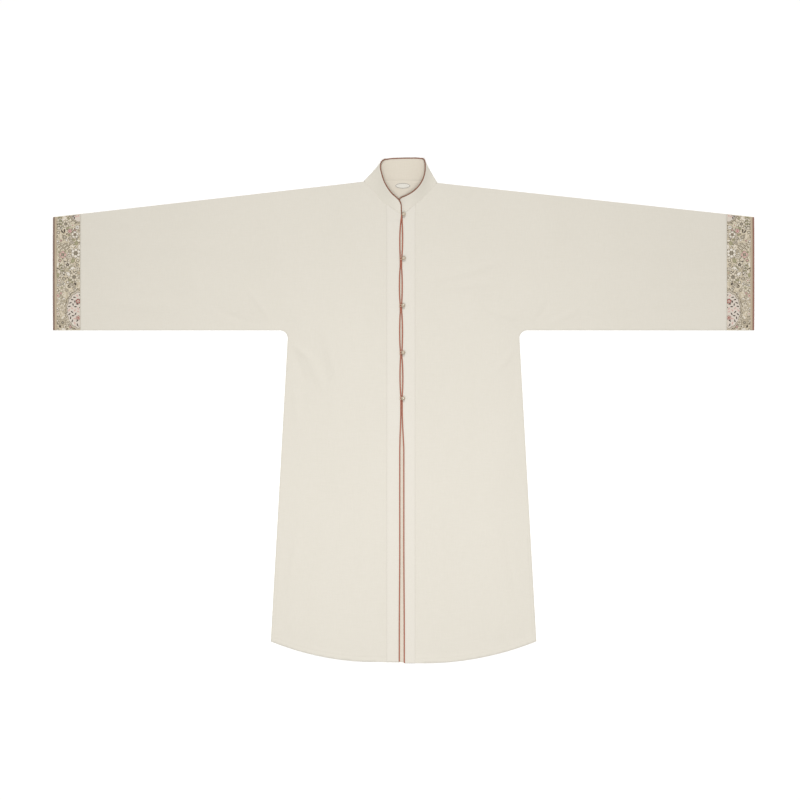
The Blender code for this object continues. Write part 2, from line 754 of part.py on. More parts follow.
def add_label(material):
    """A blank oval label on the inside of the back, under the collar."""
    outline = []
    for step in range(LABEL_SIDES):
        angle = 2 * math.pi * step / LABEL_SIDES
        outline.append((LABEL_CENTRE[0] + LABEL_SIZE[0] / 2 * math.cos(angle),
                        LABEL_CENTRE[1] + LABEL_SIZE[1] / 2 * math.sin(angle)))
    plan = plan_triangles(outline)
    return add_plate("neck_label", plan, lambda x, y: CLOTH + SEAM_GAP, LABEL_CLOTH, material)


def main():
    """Build every piece of the garment."""
    clear_scene()
    materials = {
        "cloth": make_material("cloth", CREAM),
        "band": make_material("band", BAND_CREAM),
        "piping": make_material("piping", TERRACOTTA),
        "jacquard": make_material("jacquard", JACQUARD),
        "tan_strip": make_material("tan_strip", TAN),
        "button": make_material("button", PEARL),
        "label": make_material("label", LABEL_WHITE),
    }
    add_back(materials["cloth"])
    for half in (RIGHT, LEFT):
        add_front(half, materials["cloth"])
        add_placket(half, materials["band"])
        add_front_piping(half, materials["piping"])
        add_cuff(half, materials)
    add_collar(materials["cloth"])
    add_collar_piping(materials["piping"])
    for number, (x, y) in enumerate(BUTTONS, start=1):
        add_button(number, x, y, materials["button"])
        add_loop(number, x, y, materials["piping"])
    add_label(materials["label"])


main()
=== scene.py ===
"""The looks of the standing-collar shirt that lies flat: fine cloth, sewing, piping, cuff pattern, buttons.

Metres, +Z up, in the part's own frame: +X runs to the wearer's left cuff and +Y to the collar.
The shapes repeat the part's formulas at a finer spacing and add the creases and the sewing.
"""
import math
import random
from collections import namedtuple

import bpy
import numpy as np
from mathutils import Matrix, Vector
from mathutils.geometry import delaunay_2d_cdt
from mathutils.kdtree import KDTree


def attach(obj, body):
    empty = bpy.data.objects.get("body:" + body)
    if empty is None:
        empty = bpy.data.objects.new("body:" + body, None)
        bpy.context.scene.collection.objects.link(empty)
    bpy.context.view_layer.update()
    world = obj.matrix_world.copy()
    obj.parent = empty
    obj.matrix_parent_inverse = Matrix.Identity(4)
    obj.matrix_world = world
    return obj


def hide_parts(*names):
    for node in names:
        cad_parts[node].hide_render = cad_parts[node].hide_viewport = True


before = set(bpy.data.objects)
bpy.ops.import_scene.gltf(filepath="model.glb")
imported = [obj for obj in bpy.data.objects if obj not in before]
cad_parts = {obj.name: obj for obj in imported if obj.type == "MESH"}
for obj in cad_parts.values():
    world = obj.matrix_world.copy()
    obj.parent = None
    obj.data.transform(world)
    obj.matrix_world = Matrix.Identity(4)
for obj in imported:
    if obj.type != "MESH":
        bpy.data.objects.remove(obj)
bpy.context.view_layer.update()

# Cloth and seams, as in the part
CLOTH = 0.0010
COLLAR_CLOTH = 0.0012
LABEL_CLOTH = 0.0005
SEAM_GAP = 0.0003

# Overall cut, as in the part but for the widths of the three pieces of a cuff
SLEEVE_END_X = 0.8778
SLEEVE_LOW_Y = 0.2003
CUFF_TOP_Y = 0.4834
SIDE_TOP_X = 0.2890
SIDE_LOW_X = 0.3325
HEM_CORNER_Y = -0.5788
UNDERARM_RADIUS = 0.0200
CUFF_BAND_WIDTH = 0.0589
CUFF_STRIP_WIDTH = 0.0048
CUFF_EDGE_WIDTH = 0.0036
CUFF_SEAM_X = SLEEVE_END_X - CUFF_BAND_WIDTH - CUFF_STRIP_WIDTH - CUFF_EDGE_WIDTH - 3 * SEAM_GAP

# Front opening and its piped edges, as in the part but for a slight wander, wider lenses and a wider hem
OPENING_X = -0.0046
BEAD_RADIUS = 0.0017
COLLAR_BEAD_RADIUS = 0.00155
TOUCH_OFFSET = 0.00185
LENS_OFFSET = 0.0037
LENS_POWER = 0.7
OPEN_OFFSET = 0.0052
OPENING_TOP_Y = 0.4905
OPENS_OVER = 0.110
SPREAD = 0.0012
SPREAD_FROM_Y = -0.340
SPREAD_OVER = 0.230
# The opening's sideways wander: height in plan, shift
WANDER = (
    (-0.090, 0.0001), (-0.060, -0.0004), (0.000, -0.0006), (0.060, -0.0007), (0.120, -0.0010),
    (0.165, -0.0016), (0.225, -0.0017), (0.285, -0.0023), (0.345, -0.0023), (0.405, -0.0015),
    (0.435, -0.0013), (0.465, -0.0009), (0.4905, 0.0),
)
LAP_START_Y = 0.466
LAP_END_Y = 0.488
LAP_ANGLE = math.radians(75)
LAP_REACH = 0.025

# Soft rise of the fronts over the back, as in the part
CROWN = 0.0016
CROWN_REACH = 0.045
HEM_SHARE = 0.6
HEM_REACH = 0.080
NECK_LIFT = 0.0010
NECK_LIFT_REACH = 0.025

# Buttons, loops and label, as in the part but for the ends of the loops
BALL_RADIUS = 0.0049
SHANK_RADIUS = 0.0015
LOOP_RADIUS = 0.0009
LOOP_BEND = SHANK_RADIUS + SEAM_GAP + LOOP_RADIUS
# How a loop's leg goes down beside the piping into the band's seam: distance past the piping, drop
LEG_END = ((0.0010, 0.0021), (0.0006, 0.0010), (0.0, 0.0003))
LAPPED_LEG_X = -0.0031
LABEL_CENTRE = (-0.0019, 0.5620)
LABEL_SIZE = (0.038, 0.014)

# Each half: name, side, neck corner, where the hem goes level, its lowest height, outer edge of the band
Half = namedtuple("Half", "name sign neck_x neck_y level_x hem_low_y band_x")
RIGHT = Half("right", -1, -0.1010, 0.5720, -0.0720, -0.6300, -0.0430)
LEFT = Half("left", 1, 0.0852, 0.5689, 0.0530, -0.6330, 0.0296)

# Stretches where the piped edges touch, below each button: upper end, lower end
TOUCHING = ((0.491, 0.469), (0.381, 0.356), (0.266, 0.246), (0.146, 0.131), (0.036, 0.001))

# Buttons: middle x, y
BUTTONS = ((0.0006, 0.4902), (0.0009, 0.3802), (-0.0006, 0.2619), (-0.0004, 0.1438), (-0.0009, 0.0298))

# Long soft folds in the fronts, as in the part: start x, y, end x, y, half width, height
FOLDS = (
    (-0.282, 0.232, -0.165, 0.060, 0.045, 0.0011),
    (-0.330, 0.255, -0.560, 0.330, 0.050, 0.0009),
    (-0.235, -0.300, -0.290, -0.560, 0.050, 0.0012),
    (-0.120, 0.470, -0.300, 0.415, 0.045, 0.0008),
    (0.285, 0.230, 0.175, 0.040, 0.050, 0.0012),
    (0.325, 0.262, 0.585, 0.318, 0.055, 0.0010),
    (0.225, -0.330, 0.285, -0.570, 0.050, 0.0011),
    (0.115, 0.475, 0.285, 0.425, 0.045, 0.0008),
)

# The collar's straight lines from its seam to its piped edge, as in the part
CollarLine = namedtuple("CollarLine", "seam_x seam_y edge_x edge_y edge_z")
COLLAR_RIGHT = (
    CollarLine(-0.0051, 0.4905, -0.0062, 0.5138, 0.0078),
    CollarLine(-0.0131, 0.4950, -0.0107, 0.5255, 0.0095),
    CollarLine(-0.0206, 0.4998, -0.0186, 0.5325, 0.0118),
    CollarLine(-0.0344, 0.5093, -0.0306, 0.5432, 0.0155),
    CollarLine(-0.0544, 0.5250, -0.0412, 0.5580, 0.0178),
    CollarLine(-0.0706, 0.5425, -0.0495, 0.5740, 0.0182),
    CollarLine(-0.0831, 0.5575, -0.0552, 0.5930, 0.0175),
    CollarLine(-0.0905, 0.5658, -0.0580, 0.6065, 0.0155),
    CollarLine(-0.0956, 0.5705, -0.0572, 0.6175, 0.0120),
)
COLLAR_LEFT = (
    CollarLine(-0.0041, 0.4905, -0.0112, 0.5232, 0.0042),
    CollarLine(0.0031, 0.4938, -0.0082, 0.5312, 0.0054),
    CollarLine(0.0131, 0.5018, 0.0044, 0.5360, 0.0108),
    CollarLine(0.0256, 0.5130, 0.0231, 0.5462, 0.0165),
    CollarLine(0.0431, 0.5263, 0.0406, 0.5638, 0.0195),
    CollarLine(0.0581, 0.5413, 0.0506, 0.5838, 0.0205),
    CollarLine(0.0694, 0.5543, 0.0539, 0.6013, 0.0195),
    CollarLine(0.0768, 0.5628, 0.0541, 0.6155, 0.0160),
    CollarLine(0.0806, 0.5672, 0.0530, 0.6235, 0.0120),
)
COLLAR_BACK = (
    (-0.0744, 0.5755, -0.0330, 0.6298),
    (-0.0394, 0.5765, -0.0170, 0.6304),
    (-0.0044, 0.5765, 0.0000, 0.6310),
    (0.0306, 0.5755, 0.0180, 0.6312),
    (0.0580, 0.5735, 0.0320, 0.6313),
)
COLLAR_BACK_EDGE_Z = 0.0021
CollarFold = namedtuple("CollarFold", "seam_x seam_y edge_x edge_y edge_bend")
FOLD_RIGHT = CollarFold(-0.0990, 0.5738, -0.0504, 0.6262, 0.0052)
FOLD_LEFT = CollarFold(0.0832, 0.5708, 0.0504, 0.6286, 0.0056)
SEAM_BEND = 0.0011
FOLD_CLEAR = 0.0007
FOLD_STEPS = 6
LEAST_SINE = 0.3

# How creases fade at their ends, and how far from a seam they rise on the fronts and the back
CREASE_FADE_POWER = 0.7
FRONT_CREASE_REACH = 0.020
BACK_CREASE_REACH = 0.030

# Creases that only the looks have, on the fronts: start x, y, end x, y, bow, half width, height
FRONT_CREASES = (
    (-0.200, 0.232, -0.148, 0.052, 0.008, 0.0171, 0.0028),
    (-0.262, 0.160, -0.196, 0.040, -0.006, 0.0117, 0.0019),
    (0.036, 0.318, 0.262, 0.384, 0.008, 0.0108, 0.0022),
    (0.058, 0.296, 0.236, 0.316, -0.006, 0.0099, 0.0016),
    (0.200, 0.262, 0.300, 0.226, 0.004, 0.0099, 0.0019),
    (-0.305, 0.196, -0.212, 0.118, 0.006, 0.0067, 0.0014),
    (-0.292, 0.170, -0.243, 0.058, -0.005, 0.0059, -0.0011),
    (-0.330, 0.214, -0.392, 0.300, 0.006, 0.0072, 0.0012),
    (-0.352, 0.212, -0.470, 0.252, -0.004, 0.0063, -0.0011),
    (-0.275, 0.090, -0.262, -0.040, 0.004, 0.0099, 0.0011),
    (0.300, 0.190, 0.224, 0.090, -0.005, 0.0072, 0.0014),
    (0.318, 0.208, 0.369, 0.282, 0.004, 0.0059, -0.0011),
    (0.345, 0.211, 0.446, 0.262, 0.006, 0.0072, 0.0012),
    (0.282, 0.120, 0.270, 0.012, -0.004, 0.0081, -0.0011),
    (-0.360, 0.398, -0.700, 0.402, 0.008, 0.0198, 0.0012),
    (-0.520, 0.255, -0.782, 0.282, -0.006, 0.0162, 0.0011),
    (-0.640, 0.440, -0.795, 0.452, 0.003, 0.0117, -0.0008),
    (0.420, 0.410, 0.760, 0.385, -0.007, 0.0207, 0.0012),
    (0.560, 0.245, 0.790, 0.262, 0.005, 0.0153, -0.0008),
    (0.690, 0.330, 0.800, 0.322, 0.003, 0.0108, 0.0011),
    (-0.150, 0.360, -0.172, -0.080, 0.010, 0.0180, 0.0012),
    (-0.095, -0.120, -0.112, -0.540, -0.006, 0.0153, 0.0011),
    (-0.205, -0.340, -0.262, -0.572, 0.008, 0.0108, -0.0012),
    (-0.262, -0.300, -0.298, -0.470, -0.004, 0.0090, 0.0012),
    (0.135, 0.300, 0.162, -0.150, -0.009, 0.0189, 0.0012),
    (0.088, -0.180, 0.104, -0.560, 0.006, 0.0153, 0.0011),
    (0.196, -0.370, 0.248, -0.580, -0.007, 0.0108, 0.0012),
    (0.252, -0.280, 0.292, -0.500, 0.005, 0.0095, -0.0011),
    (0.074, 0.558, 0.058, 0.496, 0.003, 0.0054, -0.0012),
    (0.100, 0.545, 0.128, 0.478, -0.004, 0.0072, 0.0011),
    (-0.092, 0.550, -0.068, 0.492, -0.003, 0.0059, -0.0012),
    (-0.118, 0.552, -0.160, 0.500, 0.005, 0.0081, 0.0011),
)

# Shallow creases that lift the back off the ground, in the same columns
BACK_CREASES = (
    (-0.292, 0.184, -0.205, 0.080, 0.006, 0.0080, 0.0005),
    (-0.322, 0.212, -0.410, 0.290, -0.005, 0.0075, 0.0004),
    (-0.400, 0.380, -0.742, 0.362, 0.008, 0.0200, 0.0005),
    (-0.560, 0.270, -0.780, 0.255, -0.004, 0.0150, 0.0004),
    (0.298, 0.186, 0.232, 0.062, -0.005, 0.0075, 0.0005),
    (0.330, 0.212, 0.430, 0.276, 0.005, 0.0080, 0.0004),
    (0.380, 0.425, 0.690, 0.398, -0.007, 0.0210, 0.0005),
    (0.610, 0.250, 0.795, 0.300, 0.006, 0.0160, 0.0004),
    (-0.060, 0.500, -0.105, 0.240, 0.006, 0.0160, 0.0005),
    (0.052, 0.480, 0.080, 0.180, -0.006, 0.0150, 0.0004),
    (-0.140, 0.080, -0.170, -0.380, 0.009, 0.0200, 0.0005),
    (0.120, 0.020, 0.158, -0.410, -0.010, 0.0190, 0.0005),
    (-0.010, -0.100, -0.022, -0.540, 0.006, 0.0170, 0.0004),
    (-0.215, -0.330, -0.270, -0.560, -0.006, 0.0120, 0.0005),
    (0.225, -0.300, 0.280, -0.550, 0.006, 0.0130, 0.0005),
)

# Sewing
EDGE_ROUND = 0.0003
HEM_TURN = 0.0130
SLIT_TURN = 0.0090
SLIT_TOP_Y = -0.3110
TURN_RISE = 0.00035
TURN_STEP = 0.0012
SEWN_DIP = 0.00018
SEWN_REACH = 0.0009
SEAM_REACH = 0.0060
BEAD_TOUCH = 0.0015
NECK_SHARE = 0.0001
BAND_STITCH_INSET = 0.0022
BEAD_STITCH_INSET = 0.0030
COLLAR_STITCH_INSET = 0.0034
CUFF_STITCH_INSET = 0.0018
STITCH_LENGTH = 0.0024
STITCH_GAP = 0.0005
STITCH_RADIUS = 0.00020
UNDER_STITCH_LIFT = 0.00030

# Mesh spacing
UNDERARM_STEPS = 8
HEM_STEPS = 48
EDGE_POINTS = 220
BEAD_POINTS = 300
HEM_STITCH_POINTS = 90
SLIT_STITCH_POINTS = 60
NECK_PARTS = 4
BACK_NECK_PARTS = 6
FRONT_GRID = 0.0055
BACK_GRID = 0.0085
BAND_GRID = 0.0035
RIM_STEP = 0.0060
SEWN_ROW_STEP = 0.0045
RIM_CLEAR_SHARE = 0.42
RIM_ROWS = 4
LEAST_MITRE = 0.5

# The light that falls on the floor, as a share of the light that would show a colour as it is
LIGHT_LEVEL = 1.33


def seen(red, green, blue):
    """The linear colour of a surface that shows as these 8-bit values under this scene's light."""
    linear = []
    for value in (red, green, blue):
        share = value / 255
        curve = share / 12.92 if share <= 0.04045 else ((share + 0.055) / 1.055) ** 2.4
        linear.append(min(curve / LIGHT_LEVEL, 1.0))
    return (*linear, 1.0)


# Helpers for meshes

def run_along(path):
    """Distance from the start at each point of a line."""
    return np.concatenate([[0], np.cumsum(np.linalg.norm(np.diff(path, axis=0), axis=1))])


def unit_steps(line):
    """Unit directions along a line."""
    along = np.gradient(line, axis=0)
    return along / np.linalg.norm(along, axis=1)[:, None]


def quads(starts, count):
    """Faces between closed rows of points that begin at these indices, each row of one count."""
    faces = []
    for here, there in zip(starts, starts[1:]):
        for spot in range(count):
            beside = (spot + 1) % count
            faces.append((here + spot, here + beside, there + beside, there + spot))
    return faces


def make_object(name, vertices, faces, materials, face_slots=None, smooth=True):
    """A mesh object from points and faces."""
    mesh = bpy.data.meshes.new(name)
    mesh.from_pydata([tuple(point) for point in vertices], [], faces)
    for material in materials:
        mesh.materials.append(material)
    if face_slots is not None:
        mesh.polygons.foreach_set("material_index", face_slots)
    if smooth:
        mesh.shade_smooth()
        mesh.set_sharp_from_angle(angle=math.radians(50))
    piece = bpy.data.objects.new(name, mesh)
    bpy.context.scene.collection.objects.link(piece)
    return piece


def ease(share):
    """Ease from 0 to 1."""
    share = np.clip(share, 0.0, 1.0)
    return share * share * (3 - 2 * share)


def along_segment(x, y, start, end):
    """Share along a straight line, and the signed distance aside of it, for points in plan."""
    run_x = end[0] - start[0]
    run_y = end[1] - start[1]
    length = math.hypot(run_x, run_y)
    share = ((x - start[0]) * run_x + (y - start[1]) * run_y) / length ** 2
    aside = ((x - start[0]) * run_y - (y - start[1]) * run_x) / length
    return share, aside


def segment_distance(x, y, start, end):
    """Distance in plan from points to a straight seam."""
    share, _ = along_segment(x, y, start, end)
    share = np.clip(share, 0.0, 1.0)
    return np.hypot(x - start[0] - share * (end[0] - start[0]), y - start[1] - share * (end[1] - start[1]))


def crease_height(creases, x, y):
    """Height of soft ridges and troughs, each a bowed line that fades at its ends."""
    height = np.zeros(np.shape(x))
    for start_x, start_y, end_x, end_y, bow, half_width, rise in creases:
        share, aside = along_segment(x, y, (start_x, start_y), (end_x, end_y))
        inner = np.clip(share, 0.0, 1.0)
        fade = np.sin(np.pi * inner) ** CREASE_FADE_POWER
        height = height + rise * fade * np.exp(-((aside - bow * np.sin(np.pi * inner)) / half_width) ** 2)
    return height


# The garment's plan, as in the part

def shoulder_y(half, x):
    """Height in plan of the sloping shoulder and sleeve-top seam."""
    share = (np.abs(x) - abs(half.neck_x)) / (SLEEVE_END_X - abs(half.neck_x))
    return half.neck_y + share * (CUFF_TOP_Y - half.neck_y)


def side_x(y):
    """Distance of the side seam from the middle."""
    share = (SLEEVE_LOW_Y - y) / (SLEEVE_LOW_Y - HEM_CORNER_Y)
    return SIDE_TOP_X + share * (SIDE_LOW_X - SIDE_TOP_X)


def hem_y(half, x):
    """The curved hem, level in the middle and rising to the side seams."""
    run = (half.sign * x - half.sign * half.level_x) / (SIDE_LOW_X - half.sign * half.level_x)
    return half.hem_low_y + (HEM_CORNER_Y - half.hem_low_y) * np.maximum(run, 0.0) ** 2


def bead_offset(y):
    """Half the distance between the two piped edges' middles at a height in plan."""
    offset = np.full(np.shape(y), TOUCH_OFFSET)
    for (_, above), (below, _) in zip(TOUCHING, TOUCHING[1:]):
        share = np.clip((above - y) / (above - below), 0.0, 1.0)
        offset = offset + (LENS_OFFSET - TOUCH_OFFSET) * np.abs(np.sin(np.pi * share)) ** LENS_POWER
    offset = offset + (OPEN_OFFSET - TOUCH_OFFSET) * ease((TOUCHING[-1][1] - y) / OPENS_OVER)
    return offset + SPREAD * ease((SPREAD_FROM_Y - y) / SPREAD_OVER)


def opening_x(y):
    """Middle line of the opening, which wanders a little to one side."""
    return OPENING_X + np.interp(y, *zip(*WANDER))


def lap_angle(y):
    """How far the right edge has turned up over the left one, near the collar."""
    return LAP_ANGLE * ease((y - LAP_START_Y) / (LAP_END_Y - LAP_START_Y))


def bead_x(half, y):
    """Middle of a half's piped front edge."""
    return opening_x(y) + half.sign * bead_offset(y) * np.cos(lap_angle(y))


def seams_of(half):
    """The straight seams that join a front to the back: shoulder, underarm, side."""
    neck = (half.neck_x, half.neck_y)
    mouth = (half.sign * SLEEVE_END_X, CUFF_TOP_Y)
    underarm = (half.sign * SIDE_TOP_X, SLEEVE_LOW_Y)
    return (
        (neck, mouth),
        (underarm, (half.sign * SLEEVE_END_X, SLEEVE_LOW_Y)),
        (underarm, (half.sign * SIDE_LOW_X, HEM_CORNER_Y)),
    )


def seam_away(half, x, y):
    """Distance in plan from the nearest of a front's seams."""
    return np.minimum.reduce([segment_distance(x, y, *seam) for seam in seams_of(half)])


def front_low(half, x, y):
    """Height of a front's underside: the part's own rise, with the fine creases added."""
    away = seam_away(half, x, y)
    inward = 1 - np.exp(-(away / CROWN_REACH) ** 2)
    over_hem = ease((y - hem_y(half, x)) / HEM_REACH)
    folds = sum(rise * np.exp(-(segment_distance(x, y, (x0, y0), (x1, y1)) / half_width) ** 2)
                for x0, y0, x1, y1, half_width, rise in FOLDS)
    lift = CROWN * (HEM_SHARE + (1 - HEM_SHARE) * over_hem) + folds * over_hem
    off_seam = 1 - np.exp(-(away / FRONT_CREASE_REACH) ** 2)
    lift = lift * inward + crease_height(FRONT_CREASES, x, y) * off_seam
    lift = lift + NECK_LIFT * np.exp(-(np.hypot(x - half.neck_x, y - half.neck_y) / NECK_LIFT_REACH) ** 2)
    if half is RIGHT:
        edge_away = np.minimum(x - bead_x(half, y), 0.0)
        lift = lift + 2 * TOUCH_OFFSET * np.sin(lap_angle(y)) * np.exp(-(edge_away / LAP_REACH) ** 2)
    return CLOTH + SEAM_GAP * (1 - np.exp(-(away / SEAM_REACH) ** 2)) + lift


def front_mid(half, x, y):
    """Height of the middle of a front's cloth."""
    return front_low(half, x, y) + CLOTH / 2


def turned_in(half, x, y):
    """Share of the extra thickness where the hem and the side slits are turned in, from 0 to 1."""
    hem_away = y - hem_y(half, x)
    side_away = side_x(y) - np.abs(x)
    in_hem = 1 - ease((hem_away - HEM_TURN) / TURN_STEP)
    in_slit = (1 - ease((side_away - SLIT_TURN) / TURN_STEP)) * ease((SLIT_TOP_Y - y) / SEAM_REACH)
    return np.maximum(in_hem, in_slit)


def sewn_dip(half, x, y):
    """Depth of the small furrow under the stitches of the hem and the side slits."""
    hem_line = (y - hem_y(half, x) - HEM_TURN + SEWN_REACH) / SEWN_REACH
    slit_line = (side_x(y) - np.abs(x) - SLIT_TURN + SEWN_REACH) / SEWN_REACH
    in_slit = ease((SLIT_TOP_Y - y) / SEAM_REACH)
    return SEWN_DIP * np.maximum(np.exp(-hem_line ** 2), np.exp(-slit_line ** 2) * in_slit)


def front_high(half, x, y):
    """Height of a front's upper face."""
    return front_low(half, x, y) + CLOTH + TURN_RISE * turned_in(half, x, y) - sewn_dip(half, x, y)


def bead_z(half, y):
    """Height of the middle of a piped front edge, which clears the back."""
    return np.maximum(front_mid(half, bead_x(half, y), y), CLOTH + SEAM_GAP + BEAD_RADIUS)


def by_side(function, x, y):
    """Work a function of a half out over points on both sides of the opening."""
    return np.where(x < OPENING_X, function(RIGHT, x, y), function(LEFT, x, y))


def back_rise(x, y):
    """Height of the creases in the back, which fade out at its seams."""
    away = by_side(seam_away, x, y)
    over_hem = ease((y - by_side(lambda half, px, py: hem_y(half, px), x, y)) / HEM_REACH)
    fade = (1 - np.exp(-(away / BACK_CREASE_REACH) ** 2)) * over_hem
    return crease_height(BACK_CREASES, x, y) * fade


def back_low(x, y):
    """The back's underside: flat on the ground but for its creases and the furrows of its sewing."""
    dip = by_side(sewn_dip, x, y) / SEWN_DIP
    return back_rise(x, y) + UNDER_STITCH_LIFT * dip


def back_high(x, y):
    """The back's upper face, which is the inside of the garment."""
    return back_rise(x, y) + CLOTH


# The collar's lines, as in the part

def keep_off(way, edge):
    """How far to go along one direction to meet the side of a piped edge, which runs along another."""
    return BEAD_TOUCH / max(way.normalized().cross(edge.normalized()).length, LEAST_SINE)


def collar_lines(half):
    """The front collar lines of one half, with the first one moved off its piped end."""
    table = COLLAR_RIGHT if half is RIGHT else COLLAR_LEFT
    first, second = table[:2]
    seam = Vector((first.seam_x, first.seam_y, 0))
    edge = Vector((first.edge_x, first.edge_y, first.edge_z))
    seam_step = Vector((second.seam_x, second.seam_y, 0)) - seam
    edge_step = Vector((second.edge_x, second.edge_y, second.edge_z)) - edge
    end = Vector((first.edge_x, first.edge_y, 0)) - seam
    seam += seam_step * keep_off(seam_step, end) / seam_step.length
    edge += edge_step * keep_off(edge_step, end) / edge_step.length
    return [CollarLine(seam.x, seam.y, *edge), *table[1:]]


def fold_lines(fold, from_back):
    """Collar lines round a side fold: the seam turns right over, the piped edge turns upright."""
    seam = Vector((fold.seam_x, fold.seam_y, 0))
    edge = Vector((fold.edge_x, fold.edge_y, 0))
    along = (edge - seam).normalized()
    outward = Vector((-along.y, along.x, 0))
    if outward.x * fold.seam_x < 0:
        outward = -outward
    slant = abs(along.x) / along.y
    upward = Vector((0, 0, 1))
    lines = []
    for step in range(FOLD_STEPS + 1):
        ends = []
        for outermost, bend, low_z, turned in ((seam, SEAM_BEND, COLLAR_CLOTH / 2, math.pi),
                                               (edge, fold.edge_bend, COLLAR_BACK_EDGE_Z, math.pi / 2)):
            angle = turned * step / FOLD_STEPS - math.pi / 2
            turn = outward * (math.cos(angle) - 1) + upward * (math.sin(angle) + 1)
            slide = along * max(-angle, 0.0) * slant
            ends.append(outermost + (turn + slide) * bend + upward * low_z)
        lines.append(tuple(ends))
    return lines if from_back else lines[::-1]


def collar_loop(right_lines, left_lines):
    """All collar lines in order, from the right front end round the back to the left front end."""
    back = [(Vector((x0, y0, COLLAR_CLOTH / 2)), Vector((x1, y1, COLLAR_BACK_EDGE_Z)))
            for x0, y0, x1, y1 in COLLAR_BACK]
    fronts = []
    for half, lines in ((RIGHT, right_lines), (LEFT, left_lines)):
        fronts.append([(Vector((line.seam_x, line.seam_y, float(front_mid(half, line.seam_x, line.seam_y)))),
                        Vector((line.edge_x, line.edge_y, line.edge_z))) for line in lines])
    return fronts[0] + fold_lines(FOLD_RIGHT, False) + back + fold_lines(FOLD_LEFT, True) + fronts[1][::-1]


def curve_through(points, parts):
    """A smooth curve through points that never swings past them, with each stretch cut into parts."""
    points = np.array(points, float)
    gaps = np.linalg.norm(np.diff(points, axis=0), axis=1)[:, None]
    slopes = np.diff(points, axis=0) / gaps
    first = 2 * gaps[1:] + gaps[:-1]
    second = gaps[1:] + 2 * gaps[:-1]
    agree = slopes[:-1] * slopes[1:] > 0
    before = np.where(agree, slopes[:-1], 1.0)
    after = np.where(agree, slopes[1:], 1.0)
    between = np.where(agree, (first + second) / (first / before + second / after), 0.0)
    tangents = np.vstack([slopes[:1], between, slopes[-1:]])
    found = []
    for index, gap in enumerate(gaps):
        for part in range(parts):
            t = part / parts
            found.append((2 * t ** 3 - 3 * t ** 2 + 1) * points[index]
                         + (t ** 3 - 2 * t ** 2 + t) * gap * tangents[index]
                         + (3 * t ** 2 - 2 * t ** 3) * points[index + 1]
                         + (t ** 3 - t ** 2) * gap * tangents[index + 1])
    return np.array([*found, points[-1]])


# Outlines in plan

def neckline(half):
    """A front's neckline, from the opening to the neck corner, just outside the collar's seam."""
    points = []
    for line in collar_lines(half):
        seam = Vector((line.seam_x, line.seam_y))
        outward = (seam - Vector((line.edge_x, line.edge_y))).normalized()
        points.append(tuple(seam + outward * NECK_SHARE))
    points[0] = (float(bead_x(half, OPENING_TOP_Y)) + half.sign * BEAD_TOUCH, points[0][1])
    fold = FOLD_RIGHT if half is RIGHT else FOLD_LEFT
    by_fold = (fold.seam_x + half.sign * FOLD_CLEAR, fold.seam_y - FOLD_CLEAR)
    curve = [tuple(point) for point in curve_through(points, NECK_PARTS)]
    return curve + [by_fold, (half.neck_x, half.neck_y)]


def outer_edge(half):
    """From the neck corner along shoulder, sleeve, underarm, side and hem to where the hem is level."""
    cuff_x = half.sign * CUFF_SEAM_X
    points = [(half.neck_x, half.neck_y), (cuff_x, float(shoulder_y(half, cuff_x))), (cuff_x, SLEEVE_LOW_Y)]
    middle_y = SLEEVE_LOW_Y - UNDERARM_RADIUS
    middle_x = side_x(middle_y) + UNDERARM_RADIUS
    for step in range(UNDERARM_STEPS + 1):
        angle = math.radians(90 + 90 * step / UNDERARM_STEPS)
        x = middle_x + UNDERARM_RADIUS * math.cos(angle)
        points.append((half.sign * x, middle_y + UNDERARM_RADIUS * math.sin(angle)))
    for step in range(HEM_STEPS + 1):
        x = half.level_x + half.sign * (1 - step / HEM_STEPS) * (SIDE_LOW_X - abs(half.level_x))
        points.append((x, float(hem_y(half, x))))
    return points


def resampled(points, step):
    """The same line with points no further apart than a step."""
    found = []
    for start, end in zip(points, points[1:]):
        count = max(1, math.ceil(math.dist(start, end) / step))
        for part in range(count):
            found.append(tuple(np.array(start) + (np.array(end) - np.array(start)) * part / count))
    return [*found, tuple(points[-1])]


def edge_column(half, aside=BEAD_TOUCH):
    """A line beside a front's piped edge, from the hem up to the collar."""
    rows = np.linspace(float(hem_y(half, OPENING_X)), OPENING_TOP_Y, EDGE_POINTS)
    return [(float(bead_x(half, y)) + half.sign * aside, float(y)) for y in rows]


def front_outline(half):
    """Closed outline of a front cut in one with its sleeve."""
    return edge_column(half)[:-1] + neckline(half)[:-1] + resampled(outer_edge(half), RIM_STEP)


def back_outline():
    """Closed outline of the back cut in one with both sleeves."""
    lows = [(x, y - NECK_SHARE) for x, y, _, _ in COLLAR_BACK]
    seam = [tuple(point) for point in curve_through(lows, BACK_NECK_PARTS)]
    right = resampled(outer_edge(RIGHT), RIM_STEP)
    left = resampled(outer_edge(LEFT), RIM_STEP)
    low = resampled([left[-1], right[-1]], RIM_STEP)
    return seam + left + low[1:-1] + right[::-1]


def plan_area(outline):
    """Area inside a closed outline, positive if it runs anticlockwise."""
    return sum(x0 * y1 - x1 * y0 for (x0, y0), (x1, y1) in zip(outline, outline[1:] + outline[:1])) / 2


def inside(outline, points):
    """Which points lie inside a closed outline."""
    found = np.zeros(len(points), bool)
    ends = np.roll(outline, -1, axis=0)
    for (x0, y0), (x1, y1) in zip(outline, ends):
        if y0 != y1:
            crosses = (y0 > points[:, 1]) != (y1 > points[:, 1])
            found ^= crosses & (points[:, 0] < x0 + (points[:, 1] - y0) / (y1 - y0) * (x1 - x0))
    return found


def kept_inside(outline, rows):
    """Rows of points without those that lie outside an outline."""
    rim = np.array(outline)
    return [[point for point, kept in zip(row, inside(rim, row)) if kept] for row in rows]


